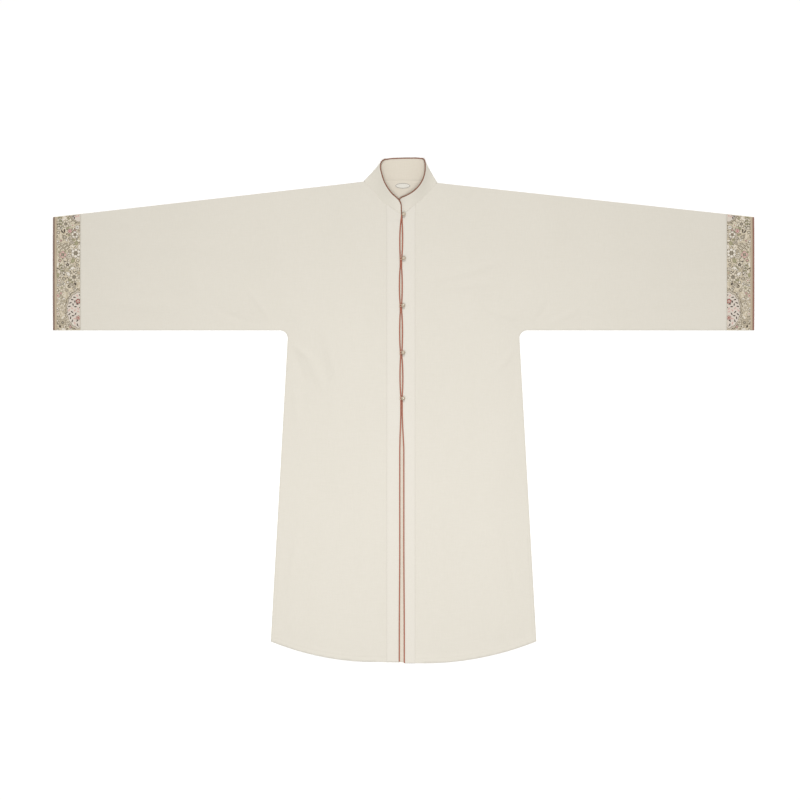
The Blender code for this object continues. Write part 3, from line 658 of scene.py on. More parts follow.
def grid_points(outline, spacing, taken):
    """Points of a staggered grid inside an outline, clear of the points already taken."""
    low = outline.min(0)
    high = outline.max(0)
    rows = np.arange(low[1], high[1], spacing * math.sqrt(3) / 2)
    columns = np.arange(low[0], high[0], spacing)
    grid = np.array([(x + spacing / 2 * (row % 2), y) for row, y in enumerate(rows) for x in columns])
    grid = grid[inside(outline, grid)]
    tree = KDTree(len(taken))
    for index, (x, y) in enumerate(taken):
        tree.insert((x, y, 0), index)
    tree.balance()
    clear = spacing * RIM_CLEAR_SHARE
    return [point for point in grid if tree.find((point[0], point[1], 0))[2] > clear]


def add_shell(name, outline, low, high, spacing, materials, rows=()):
    """A thin cloth shell over an outline in plan, with a rounded edge and its last finish on top."""
    rim = np.array(outline if plan_area(outline) > 0 else outline[::-1])
    count = len(rim)
    before = rim - np.roll(rim, 1, axis=0)
    after = np.roll(rim, -1, axis=0) - rim
    before /= np.linalg.norm(before, axis=1)[:, None]
    after /= np.linalg.norm(after, axis=1)[:, None]
    along = before + after
    along /= np.maximum(np.linalg.norm(along, axis=1)[:, None], 1e-9)
    outward = np.stack([along[:, 1], -along[:, 0]], axis=1)
    after_out = np.stack([after[:, 1], -after[:, 0]], axis=1)
    mitre = np.maximum((outward * after_out).sum(1), LEAST_MITRE)[:, None]
    inset = rim - outward * EDGE_ROUND / mitre
    extra = [tuple(point) for row in rows for point in row]
    taken = np.vstack([inset, np.array(extra).reshape(-1, 2)])
    inner = grid_points(inset, spacing, taken)
    plan = [Vector((float(x), float(y))) for x, y in [*taken, *inner]]
    flat, _, triangles, origins, _, _ = delaunay_2d_cdt(plan, [], [list(range(count))], 1, 1e-7)
    place = {source: index for index, sources in enumerate(origins) for source in sources}
    rim_at = [place[index] for index in range(count)]
    x = np.array([point[0] for point in flat])
    y = np.array([point[1] for point in flat])
    top = high(x, y)
    bottom = low(x, y)
    total = len(x)
    vertices = [np.stack([x, y, top], axis=1), np.stack([x, y, bottom], axis=1)]
    middle = (top + bottom)[rim_at] / 2
    half_thick = (top - bottom)[rim_at] / 2
    for row in range(1, RIM_ROWS):
        angle = math.pi / 2 - math.pi * row / RIM_ROWS
        spot = inset + outward * (EDGE_ROUND / mitre) * math.cos(angle)
        vertices.append(np.column_stack([spot, middle + half_thick * math.sin(angle)]))
    faces = [tuple(face) for face in triangles]
    faces += [tuple(index + total for index in reversed(face)) for face in triangles]
    starts = [2 * total + row * count for row in range(RIM_ROWS - 1)]
    levels = [rim_at] + [list(range(start, start + count)) for start in starts]
    levels.append([index + total for index in rim_at])
    for upper, lower in zip(levels, levels[1:]):
        for index in range(count):
            beside = (index + 1) % count
            faces.append((lower[index], lower[beside], upper[beside], upper[index]))
    slots = [len(materials) - 1] * len(triangles) + [0] * (len(faces) - len(triangles))
    return make_object(name, np.vstack(vertices), faces, materials, slots)


def beside_line(points, asides):
    """Copies of a line in plan, each moved aside by a distance."""
    line = np.array(points)
    along = unit_steps(line)
    across = np.stack([along[:, 1], -along[:, 0]], axis=1)
    return [line + across * aside for aside in asides]


def sewn_lines(half):
    """The stitched lines of a half in plan: along the hem, and beside the side slit."""
    inner_x = float(bead_x(half, half.hem_low_y)) + half.sign * 2 * BEAD_RADIUS
    outer_x = half.sign * (SIDE_LOW_X - SLIT_TURN)
    hem = [(float(x), float(hem_y(half, x)) + HEM_TURN - SEWN_REACH)
           for x in np.linspace(inner_x, outer_x, HEM_STITCH_POINTS)]
    slit = [(half.sign * (float(side_x(y)) - SLIT_TURN + SEWN_REACH), float(y))
            for y in np.linspace(SLIT_TOP_Y, HEM_CORNER_Y + HEM_TURN, SLIT_STITCH_POINTS)]
    return hem, slit


# Materials

# The wave texture's turns in one unit of its scale, and the depth of the relief of cloth and of thread
WAVE_TURNS = 20
RELIEF_DEPTH = 0.0001
THREAD_RELIEF_DEPTH = 0.00008
THREAD_NOISE = 420
THREAD_SHADE = 0.86
# Tones of woven cloth: noise of the wide clouds, their share beside the uneven threads, the range mapped
CLOUD_SCALE = (7.0, 3.0, 7.0)
CLOUD_SHARE = 0.35
TONE_RANGE = (0.80, 1.55)
SLUB_STRETCH = 30
UNEVEN_RELIEF = 0.8
# Where the flecks of the patterned ground begin and end in its noise
FLECK_FROM = 0.36
FLECK_OVER = 0.28


def add_node(tree, kind, inputs=None, **settings):
    """A shader node with its settings, and each input linked or set."""
    node = tree.nodes.new(kind)
    for name, value in settings.items():
        setattr(node, name, value)
    for name, value in (inputs or {}).items():
        if isinstance(value, bpy.types.NodeSocket):
            tree.links.new(value, node.inputs[name])
        else:
            node.inputs[name].default_value = value
    return node


def blank_material(name, roughness, **sockets):
    """A Principled material with the numbers that are the same all over, and its node tree."""
    material = bpy.data.materials.new(name)
    material.use_nodes = True
    shader = material.node_tree.nodes["Principled BSDF"]
    shader.inputs["Roughness"].default_value = roughness
    for socket, value in sockets.items():
        shader.inputs[socket.replace("_", " ")].default_value = value
    return material, material.node_tree, shader


def mixed(tree, factor, first, second):
    """A colour between two others."""
    node = add_node(tree, "ShaderNodeMix", data_type="RGBA")
    tree.links.new(factor, node.inputs[0])
    for place, colour in ((6, first), (7, second)):
        if isinstance(colour, bpy.types.NodeSocket):
            tree.links.new(colour, node.inputs[place])
        else:
            node.inputs[place].default_value = colour
    return node.outputs[2]


def thread_bands(tree, where, direction, pitch, distortion):
    """Rows of threads along one direction, a pitch apart, as a value from 0 to 1."""
    inputs = {"Vector": where, "Scale": 2 * math.pi / (WAVE_TURNS * pitch), "Distortion": distortion,
              "Detail": 1.0, "Detail Scale": 0.05}
    wave = add_node(tree, "ShaderNodeTexWave", inputs, wave_type="BANDS", bands_direction=direction)
    return wave.outputs["Fac"]


def stretched_noise(tree, where, scale, detail=2.0):
    """Noise with its own scale along each axis."""
    mapping = add_node(tree, "ShaderNodeMapping", {"Vector": where, "Scale": scale})
    inputs = {"Vector": mapping.outputs["Vector"], "Scale": 1.0, "Detail": detail, "Roughness": 0.55}
    return add_node(tree, "ShaderNodeTexNoise", inputs).outputs["Fac"]


def multiplied(tree, first, second, added=None):
    """The product of two values, with a third added to it if there is one."""
    inputs = {0: first, 1: second} if added is None else {0: first, 1: second, 2: added}
    operation = "MULTIPLY" if added is None else "MULTIPLY_ADD"
    return add_node(tree, "ShaderNodeMath", inputs, operation=operation).outputs[0]


def spread(tree, value, low, high):
    """A value spread so that a range of it fills 0 to 1."""
    inputs = {"Value": value, "From Min": low, "From Max": high}
    return add_node(tree, "ShaderNodeMapRange", inputs).outputs[0]


def raised(tree, shader, height, strength, distance=RELIEF_DEPTH):
    """Fine relief from a height value."""
    bump = add_node(tree, "ShaderNodeBump", {"Height": height, "Strength": strength, "Distance": distance})
    tree.links.new(bump.outputs["Normal"], shader.inputs["Normal"])


def woven_material(name, dark, light, roughness, pitch, slub, relief, twill=False, **sockets):
    """Woven cloth: warp and weft in relief, uneven threads, and a faint change of tone across it."""
    material, tree, shader = blank_material(name, roughness, **sockets)
    where = add_node(tree, "ShaderNodeTexCoord").outputs["Object"]
    if twill:
        first = thread_bands(tree, where, "DIAGONAL", pitch, 0.6)
        second = stretched_noise(tree, where, (1 / pitch, 1 / pitch, 1 / pitch))
    else:
        first = thread_bands(tree, where, "X", pitch, 0.5)
        second = thread_bands(tree, where, "Y", pitch, 0.5)
    weave = multiplied(tree, first, second)
    warp = stretched_noise(tree, where, (slub, slub / SLUB_STRETCH, slub))
    weft = stretched_noise(tree, where, (slub / SLUB_STRETCH, slub, slub))
    uneven = add_node(tree, "ShaderNodeMath", {0: warp, 1: weft}, operation="ADD").outputs[0]
    tone = multiplied(tree, stretched_noise(tree, where, CLOUD_SCALE), CLOUD_SHARE, uneven)
    level = spread(tree, tone, *TONE_RANGE)
    tree.links.new(mixed(tree, level, dark, light), shader.inputs["Base Color"])
    raised(tree, shader, multiplied(tree, uneven, UNEVEN_RELIEF, weave), relief)
    return material


def ground_material(name, tones, cell, **sockets):
    """The dense woven ground of the cuff bands: small flecks of several tones over threads."""
    material, tree, shader = blank_material(name, 0.62, **sockets)
    where = add_node(tree, "ShaderNodeTexCoord").outputs["Object"]
    flecks = stretched_noise(tree, where, (1 / cell, 1 / cell, 1 / cell), 1.5)
    ramp = add_node(tree, "ShaderNodeValToRGB", {"Fac": flecks})
    ramp.color_ramp.interpolation = "EASE"
    stops = ramp.color_ramp.elements
    stops[0].position = FLECK_FROM
    stops[1].position = FLECK_FROM + FLECK_OVER
    stops[0].color = tones[0]
    stops[1].color = tones[-1]
    for index, tone in enumerate(tones[1:-1], start=1):
        stops.new(FLECK_FROM + FLECK_OVER * index / (len(tones) - 1)).color = tone
    tree.links.new(ramp.outputs["Color"], shader.inputs["Base Color"])
    weft = thread_bands(tree, where, "Y", 0.0006, 0.4)
    raised(tree, shader, multiplied(tree, flecks, 2.0, weft), 0.35)
    return material


def thread_material(name, colour, pitch=0.0005):
    """Floss or sewing thread: one tone with a faint change, and fine twisted ribs."""
    material, tree, shader = blank_material(name, 0.48, Sheen_Weight=0.25, Sheen_Roughness=0.4)
    where = add_node(tree, "ShaderNodeTexCoord").outputs["Object"]
    change = stretched_noise(tree, where, (THREAD_NOISE,) * 3)
    darker = tuple(value * THREAD_SHADE for value in colour[:3]) + (1.0,)
    tree.links.new(mixed(tree, change, darker, colour), shader.inputs["Base Color"])
    raised(tree, shader, thread_bands(tree, where, "DIAGONAL", pitch, 0.3), 0.25, THREAD_RELIEF_DEPTH)
    return material


def pearl_material(name):
    """A pearl-like ball: soft beige with a cloudy change of tone under a clear gloss."""
    material, tree, shader = blank_material(name, 0.26, Coat_Weight=0.6, Coat_Roughness=0.12, IOR=1.55)
    where = add_node(tree, "ShaderNodeTexCoord").outputs["Object"]
    level = spread(tree, stretched_noise(tree, where, (260, 260, 260), 3.0), 0.35, 0.65)
    tree.links.new(mixed(tree, level, seen(178, 162, 140), seen(222, 208, 186)), shader.inputs["Base Color"])
    return material


def floor_material(name):
    """A plain pale studio floor."""
    material, _, shader = blank_material(name, 0.9)
    shader.inputs["Base Color"].default_value = (0.97, 0.97, 0.97, 1.0)
    shader.inputs["Specular IOR Level"].default_value = 0.0
    return material


def sheen(weight, roughness):
    """The numbers of a cloth's sheen."""
    return {"Sheen_Weight": weight, "Sheen_Roughness": roughness}


# Woven finishes: name, 8-bit dark and light tone, roughness, thread pitch, slubs, relief, twill or not, sheen
WOVEN = {
    name: woven_material(name, seen(*dark), seen(*light), roughness, pitch, slub, relief, twill, **gloss)
    for name, dark, light, roughness, pitch, slub, relief, twill, gloss in (
        ("cream_cloth", (227, 222, 210), (234, 229, 218), 0.62, 0.0005, 1400, 0.20, False,
         sheen(0.12, 0.45)),
        # A paler copy of the cream cloth for the collar: painted light, lifting the collar's sloping sides
        # out of their shade
        ("collar_cloth_painted_light", (230, 225, 212), (237, 232, 221), 0.62, 0.0005, 1400, 0.20, False,
         sheen(0.12, 0.45)),
        # A warmer copy of the cream cloth for inside the collar and the back's inside: painted warm shade,
        # standing in for warm bounce light
        ("cream_painted_warm_shade", (229, 220, 204), (237, 229, 214), 0.66, 0.0005, 1400, 0.20, False,
         sheen(0.10, 0.5)),
        ("band_cloth", (230, 225, 214), (236, 231, 221), 0.60, 0.0005, 1400, 0.20, False,
         sheen(0.12, 0.45)),
        ("terracotta_satin", (170, 98, 74), (194, 120, 94), 0.45, 0.0006, 700, 0.40, True,
         sheen(0.20, 0.35)),
        # A darker copy of the terracotta satin for the collar's piping: painted shade
        ("terracotta_painted_shade", (130, 84, 64), (158, 106, 82), 0.50, 0.0006, 700, 0.40, True,
         sheen(0.10, 0.4)),
        # The cuffs' piped mouths: terracotta darkened, partly the bias cloth's own duller tone and partly
        # painted shade along the sleeve mouth's edge; each cuff has its own tone
        ("terracotta_bias_right", (112, 84, 70), (144, 112, 94), 0.50, 0.0006, 900, 0.40, True,
         sheen(0.10, 0.4)),
        ("terracotta_bias_left", (132, 82, 66), (162, 108, 88), 0.50, 0.0006, 900, 0.40, True,
         sheen(0.10, 0.4)),
        ("tan_ribbed", (188, 170, 144), (204, 186, 160), 0.55, 0.0007, 800, 0.40, False,
         sheen(0.15, 0.4)),
        ("label_woven", (232, 228, 218), (242, 239, 231), 0.55, 0.0004, 900, 0.25, False, {}),
    )
}
GROUND = ground_material("jacquard_ground", (seen(190, 176, 150), seen(217, 204, 178), seen(233, 221, 198)),
                         0.0020, Sheen_Weight=0.15)
CREAM_THREAD = thread_material("cream_thread", seen(230, 225, 213))
TAN_THREAD = thread_material("tan_thread", seen(120, 104, 82))
LOOP_CORD = thread_material("pale_peach_cord", seen(236, 200, 172), pitch=0.0004)
FLOSS = {
    tone: thread_material(f"floss_{tone}", seen(*colour))
    for tone, colour in (
        ("black", (70, 58, 48)), ("dark", (84, 72, 56)), ("taupe", (130, 119, 99)),
        ("olive", (176, 170, 134)), ("sand", (202, 189, 165)), ("cream", (232, 221, 201)),
        ("pale", (232, 221, 208)), ("white", (246, 238, 225)), ("rose", (224, 184, 174)),
        ("red", (176, 88, 86)),
    )
}
PEARL = pearl_material("pearl")


# Tubes, stitches and rings

LEAST_END_SHARE = 0.2
SMOOTHING_TAILS = 3
PIPING_STEP = 0.0022
PIPING_EASE = 0.002
COLLAR_PIPING_EASE = 0.004
PIPING_END_SHARES = (0.0, 0.15, 0.4)
# Gathers of the piping's bias cloth: depth, turns per metre, shift
GATHERS = ((0.025, 690, 0.0), (0.02, 233, 1.3))
# A stitch: share along it, share of its radius
STITCH_RINGS = ((0.0, 0.0), (0.18, 0.85), (0.5, 1.0), (0.82, 0.85), (1.0, 0.0))
STITCH_SUNK = 0.6
STITCH_FLATNESS = 1.15
STITCH_SEAT = STITCH_RADIUS * 0.3
# Rows of points beside stitched lines, so that the furrows under them keep their form
HEM_ASIDES = (-0.0016, -0.0006, 0.0, 0.0009)
SLIT_ASIDES = (-0.0012, 0.0, 0.0009)
BAND_ASIDES = (-0.0009, 0.0, 0.0009)
CUFF_STITCH_POINTS = 50
BAND_STITCH_POINTS = 260
BAND_STITCH_LOW = 0.003
BAND_STITCH_TOP_Y = 0.4960


def frames_along(path):
    """Unit directions along a path, across it and up from it, that turn no more than they must."""
    path = np.array(path, float)
    along = unit_steps(path)
    across = [np.cross(along[0], (0.0, 0.0, 1.0))]
    across[0] /= np.linalg.norm(across[0])
    for direction in along[1:]:
        side = across[-1] - direction * across[-1].dot(direction)
        across.append(side / np.linalg.norm(side))
    across = np.array(across)
    return path, along, across, np.cross(across, along)


def tube_mesh(path, radii, sides):
    """Points and faces of a round tube whose radius follows a list."""
    path, _, across, upward = frames_along(path)
    angles = 2 * np.pi * np.arange(sides) / sides
    around = across[:, None] * np.cos(angles)[None, :, None] + upward[:, None] * np.sin(angles)[None, :, None]
    vertices = (path[:, None] + around * np.array(radii)[:, None, None]).reshape(-1, 3)
    ends = [tuple(range(sides)), tuple(len(vertices) - 1 - side for side in range(sides))]
    return vertices, ends + quads(range(0, len(vertices), sides), sides)


def joined(parts):
    """Several meshes of points and faces as one."""
    vertices = []
    faces = []
    for points, its_faces in parts:
        start = len(vertices)
        vertices.extend(points)
        faces.extend(tuple(index + start for index in face) for face in its_faces)
    return vertices, faces


def rounded_radii(path, radius):
    """Radii of a tube with rounded ends."""
    away = run_along(path)
    reach = np.minimum(np.minimum(away, away[-1] - away) / radius, 1.0)
    return radius * np.sqrt(np.maximum(1 - (1 - reach) ** 2, LEAST_END_SHARE ** 2))


def evened(path, step, reach):
    """A line at even steps with its small kinks smoothed out and its ends kept."""
    path = np.array(path, float)
    away = run_along(path)
    stops = np.linspace(0, away[-1], max(8, round(away[-1] / step)))
    line = np.stack([np.interp(stops, away, path[:, axis]) for axis in range(3)], axis=1)
    count = max(1, round(SMOOTHING_TAILS * reach / step))
    weights = np.exp(-(np.arange(-count, count + 1) * step / reach) ** 2)
    ends = (2 * line[0] - line[count:0:-1], 2 * line[-1] - line[-2:-count - 2:-1])
    padded = np.vstack([ends[0], line, ends[1]])
    weights /= weights.sum()
    return np.stack([np.convolve(padded[:, axis], weights, "valid") for axis in range(3)], axis=1)


def add_piping(name, path, radius, reach, material, sides=14):
    """A piped edge: bias cloth drawn round a cord, with small uneven gathers along it."""
    path = evened(path, PIPING_STEP, reach)
    ends = [path[0] + (path[1] - path[0]) * share for share in PIPING_END_SHARES]
    tail = [path[-1] + (path[-2] - path[-1]) * share for share in PIPING_END_SHARES[::-1]]
    path = np.vstack([ends, path[1:-1], tail])
    away = run_along(path)
    gathers = 1 + sum(depth * np.sin(away * pace + shift) for depth, pace, shift in GATHERS)
    return make_object(name, *tube_mesh(path, rounded_radii(path, radius) * gathers, sides), [material])


def add_stitches(name, lines, material):
    """Stitches along lines of points with their surface normals, as one mesh."""
    parts = []
    for points, normals in lines:
        points = np.array(points, float)
        normals = np.array(normals, float)
        away = run_along(points)
        count = int(away[-1] // (STITCH_LENGTH + STITCH_GAP))
        for number in range(count):
            start = number * (STITCH_LENGTH + STITCH_GAP) + STITCH_GAP / 2
            stops = start + STITCH_LENGTH * np.array([share for share, _ in STITCH_RINGS])
            spots = np.stack([np.interp(stops, away, points[:, axis]) for axis in range(3)], axis=1)
            up = np.array([np.interp(stops[2], away, normals[:, axis]) for axis in range(3)])
            along = spots[-1] - spots[0]
            across = np.cross(along, up)
            across /= np.linalg.norm(across)
            vertices = [spots[0] - up * STITCH_RADIUS * STITCH_SUNK]
            for (_, size), spot in list(zip(STITCH_RINGS, spots))[1:-1]:
                for turn in range(4):
                    angle = math.pi / 2 * turn
                    reach = across * math.cos(angle) * STITCH_FLATNESS + up * math.sin(angle)
                    vertices.append(spot + reach * STITCH_RADIUS * size)
            vertices.append(spots[-1] - up * STITCH_RADIUS * STITCH_SUNK)
            faces = [(0, 1 + (turn + 1) % 4, 1 + turn) for turn in range(4)]
            faces += quads((1, 5, 9), 4)
            faces += [(13, 9 + turn, 9 + (turn + 1) % 4) for turn in range(4)]
            parts.append((vertices, faces))
    return make_object(name, *joined(parts), [material])


def on_surface(points, height, up=1.0):
    """A line in plan laid on a surface, with normals that point straight up or down."""
    x = np.array([point[0] for point in points])
    y = np.array([point[1] for point in points])
    line = np.stack([x, y, height(x, y)], axis=1)
    return line, np.tile((0.0, 0.0, up), (len(line), 1))


def sleeve_top(half, x, y):
    """Height of the upper face of the cuff rings."""
    return front_low(half, x, y) + CLOTH


RING_BOTTOM = 0.0003
RING_ACROSS = 72
RING_TURN = 8
# The inner face's share at the turns, the swell's share underneath, the cloth's share of thickness
RING_INNER_SHARE = 0.3
RING_UNDER_SWELL = 0.5
RING_THICKNESS = CLOTH * 0.9
SWELL_POWER = 0.6
SOFT_EDGE = 0.0003
SOFT_EDGE_ANGLE = math.radians(60)


def ring_section(half, x, thick, swell):
    """Outer and inner points of a flattened sleeve ring in the Y-Z plane at one x."""
    high = float(shoulder_y(half, x))
    outer = []
    inner = []
    radius = (CLOTH * 2 + SEAM_GAP - RING_BOTTOM) / 2
    front_y = np.linspace(SLEEVE_LOW_Y + radius, high - radius, RING_ACROSS)
    front_z = sleeve_top(half, np.full(RING_ACROSS, x), front_y)
    for y, z in zip(front_y, front_z):
        outer.append((y, z + swell))
        inner.append((y, z - thick))
    for end_y, end_z, way in ((high - radius, front_z[-1], 1), (SLEEVE_LOW_Y + radius, front_z[0], -1)):
        middle = (end_z + RING_BOTTOM) / 2
        tall = (end_z - RING_BOTTOM) / 2
        turn_outer = []
        turn_inner = []
        for step in range(1, RING_TURN):
            angle = math.pi / 2 - math.pi * step / RING_TURN
            turn_outer.append((end_y + way * radius * math.cos(angle), middle + tall * math.sin(angle)))
            turn_inner.append((end_y + way * (radius - thick) * RING_INNER_SHARE * math.cos(angle),
                               middle + max(tall - thick, SEAM_GAP / 3) * math.sin(angle)))
        if way > 0:
            outer += turn_outer
            inner += turn_inner
            for y in front_y[::-1]:
                outer.append((y, RING_BOTTOM - swell * RING_UNDER_SWELL))
                inner.append((y, RING_BOTTOM + thick))
        else:
            outer += turn_outer[::-1]
            inner += turn_inner[::-1]
    return outer, inner


def add_ring(name, half, start_x, width, steps, material, swell=0.0):
    """A flattened ring of cloth round the sleeve's mouth, with soft edges."""
    sections = []
    for step in range(steps + 1):
        share = step / steps
        bulge = swell * math.sin(math.pi * share) ** SWELL_POWER if 0 < step < steps else 0.0
        x = half.sign * (start_x + width * share)
        outer, inner = ring_section(half, x, RING_THICKNESS, bulge)
        sections.append(([(x, *point) for point in outer], [(x, *point) for point in inner]))
    count = len(sections[0][0])
    vertices = [point for outer, inner in sections for point in outer + inner]
    starts = range(0, len(vertices), 2 * count)
    faces = quads(starts, count)
    faces += [(face[0], *face[:0:-1]) for face in quads([start + count for start in starts], count)]
    last = starts[-1]
    for index in range(count):
        beside = (index + 1) % count
        faces.append((index, index + count, beside + count, beside))
        faces.append((last + index, last + beside, last + count + beside, last + count + index))
    if half.sign > 0:
        faces = [face[::-1] for face in faces]
    piece = make_object(name, vertices, faces, [material])
    bevel = piece.modifiers.new("soft_edge", "BEVEL")
    bevel.width = SOFT_EDGE
    bevel.segments = 2
    bevel.limit_method = "ANGLE"
    bevel.angle_limit = SOFT_EDGE_ANGLE
    return piece


# The cuff pattern: flowers, leaves and scrolls of floss over the woven ground, in the band's own plan

LAYER = 0.00004
LIFT_STEP = 0.05
OUTLINE = 0.00075
BAND_TALL = 0.2900
# The band's lower outer part is woven in paler tones
PALE_FROM = 0.0300
PALE_BELOW = 0.1050
PALER = {"black": "dark", "dark": "taupe", "olive": "sand"}
# A leaf's sides: share of its length, share of its half width
LEAF_SWELL = ((0.25, 0.8), (0.5, 1.0), (0.78, 0.6))
SPRAY_STEPS = 8
STEM_WIDTH = 0.0010
LEAF_LEAN = 0.95
# Sizes of fillers at which their shapes or tones change
SMALL_FILLER = 0.0016
LARGE_FILLER = 0.003
# How far the pattern keeps off the band's long sides and its folds, and the least area of a shape
PATTERN_SIDE = 0.0004
PATTERN_MARGIN = 0.0012
LEAST_AREA = 2e-8
# Seed and share of the fillers of a cuff's upper and under face, and how flat the under one lies
UPPER_PATTERN = (3, 1.0)
UNDER_PATTERN = (5, 0.6)
UNDER_LAYER_SHARE = 0.7


def polar(centre, reach, angle):
    """A point at a distance and an angle from a centre."""
    return (centre[0] + reach * math.cos(angle), centre[1] + reach * math.sin(angle))


def petal(centre, angle, near, far, half_width, points=9):
    """An egg-shaped petal that points away from a centre."""
    found = []
    for step in range(points):
        turn = 2 * math.pi * step / points
        out = (near + far) / 2 + (far - near) / 2 * math.cos(turn)
        aside = half_width * math.sin(turn) * (0.82 + 0.28 * math.cos(turn))
        found.append((centre[0] + out * math.cos(angle) - aside * math.sin(angle),
                      centre[1] + out * math.sin(angle) + aside * math.cos(angle)))
    return found


def disc(centre, radius, points=8):
    """A round spot."""
    return petal(centre, 0.0, -radius, radius, radius, points)


def ribbon(points, width):
    """A narrow band along a line, as a row of four-sided pieces."""
    line = np.array(points, float)
    along = np.gradient(line, axis=0)
    along /= np.maximum(np.linalg.norm(along, axis=1)[:, None], 1e-9)
    across = np.stack([-along[:, 1], along[:, 0]], axis=1) * width / 2
    one = line + across
    two = line - across
    corners = [(tuple(left), tuple(right)) for left, right in zip(one, two)]
    return [[left, right, next_right, next_left]
            for (left, right), (next_left, next_right) in zip(corners, corners[1:])]


def clipped(polygon, bounds):
    """The part of a convex shape that lies inside all of some straight bounds."""
    for way_u, way_v, limit in bounds:
        kept = []
        for (u0, v0), (u1, v1) in zip(polygon, polygon[1:] + polygon[:1]):
            first = limit - way_u * u0 - way_v * v0
            second = limit - way_u * u1 - way_v * v1
            if first >= 0:
                kept.append((u0, v0))
            if first * second < 0:
                share = first / (first - second)
                kept.append((u0 + share * (u1 - u0), v0 + share * (v1 - v0)))
        polygon = kept
        if len(polygon) < 3:
            return []
    return polygon


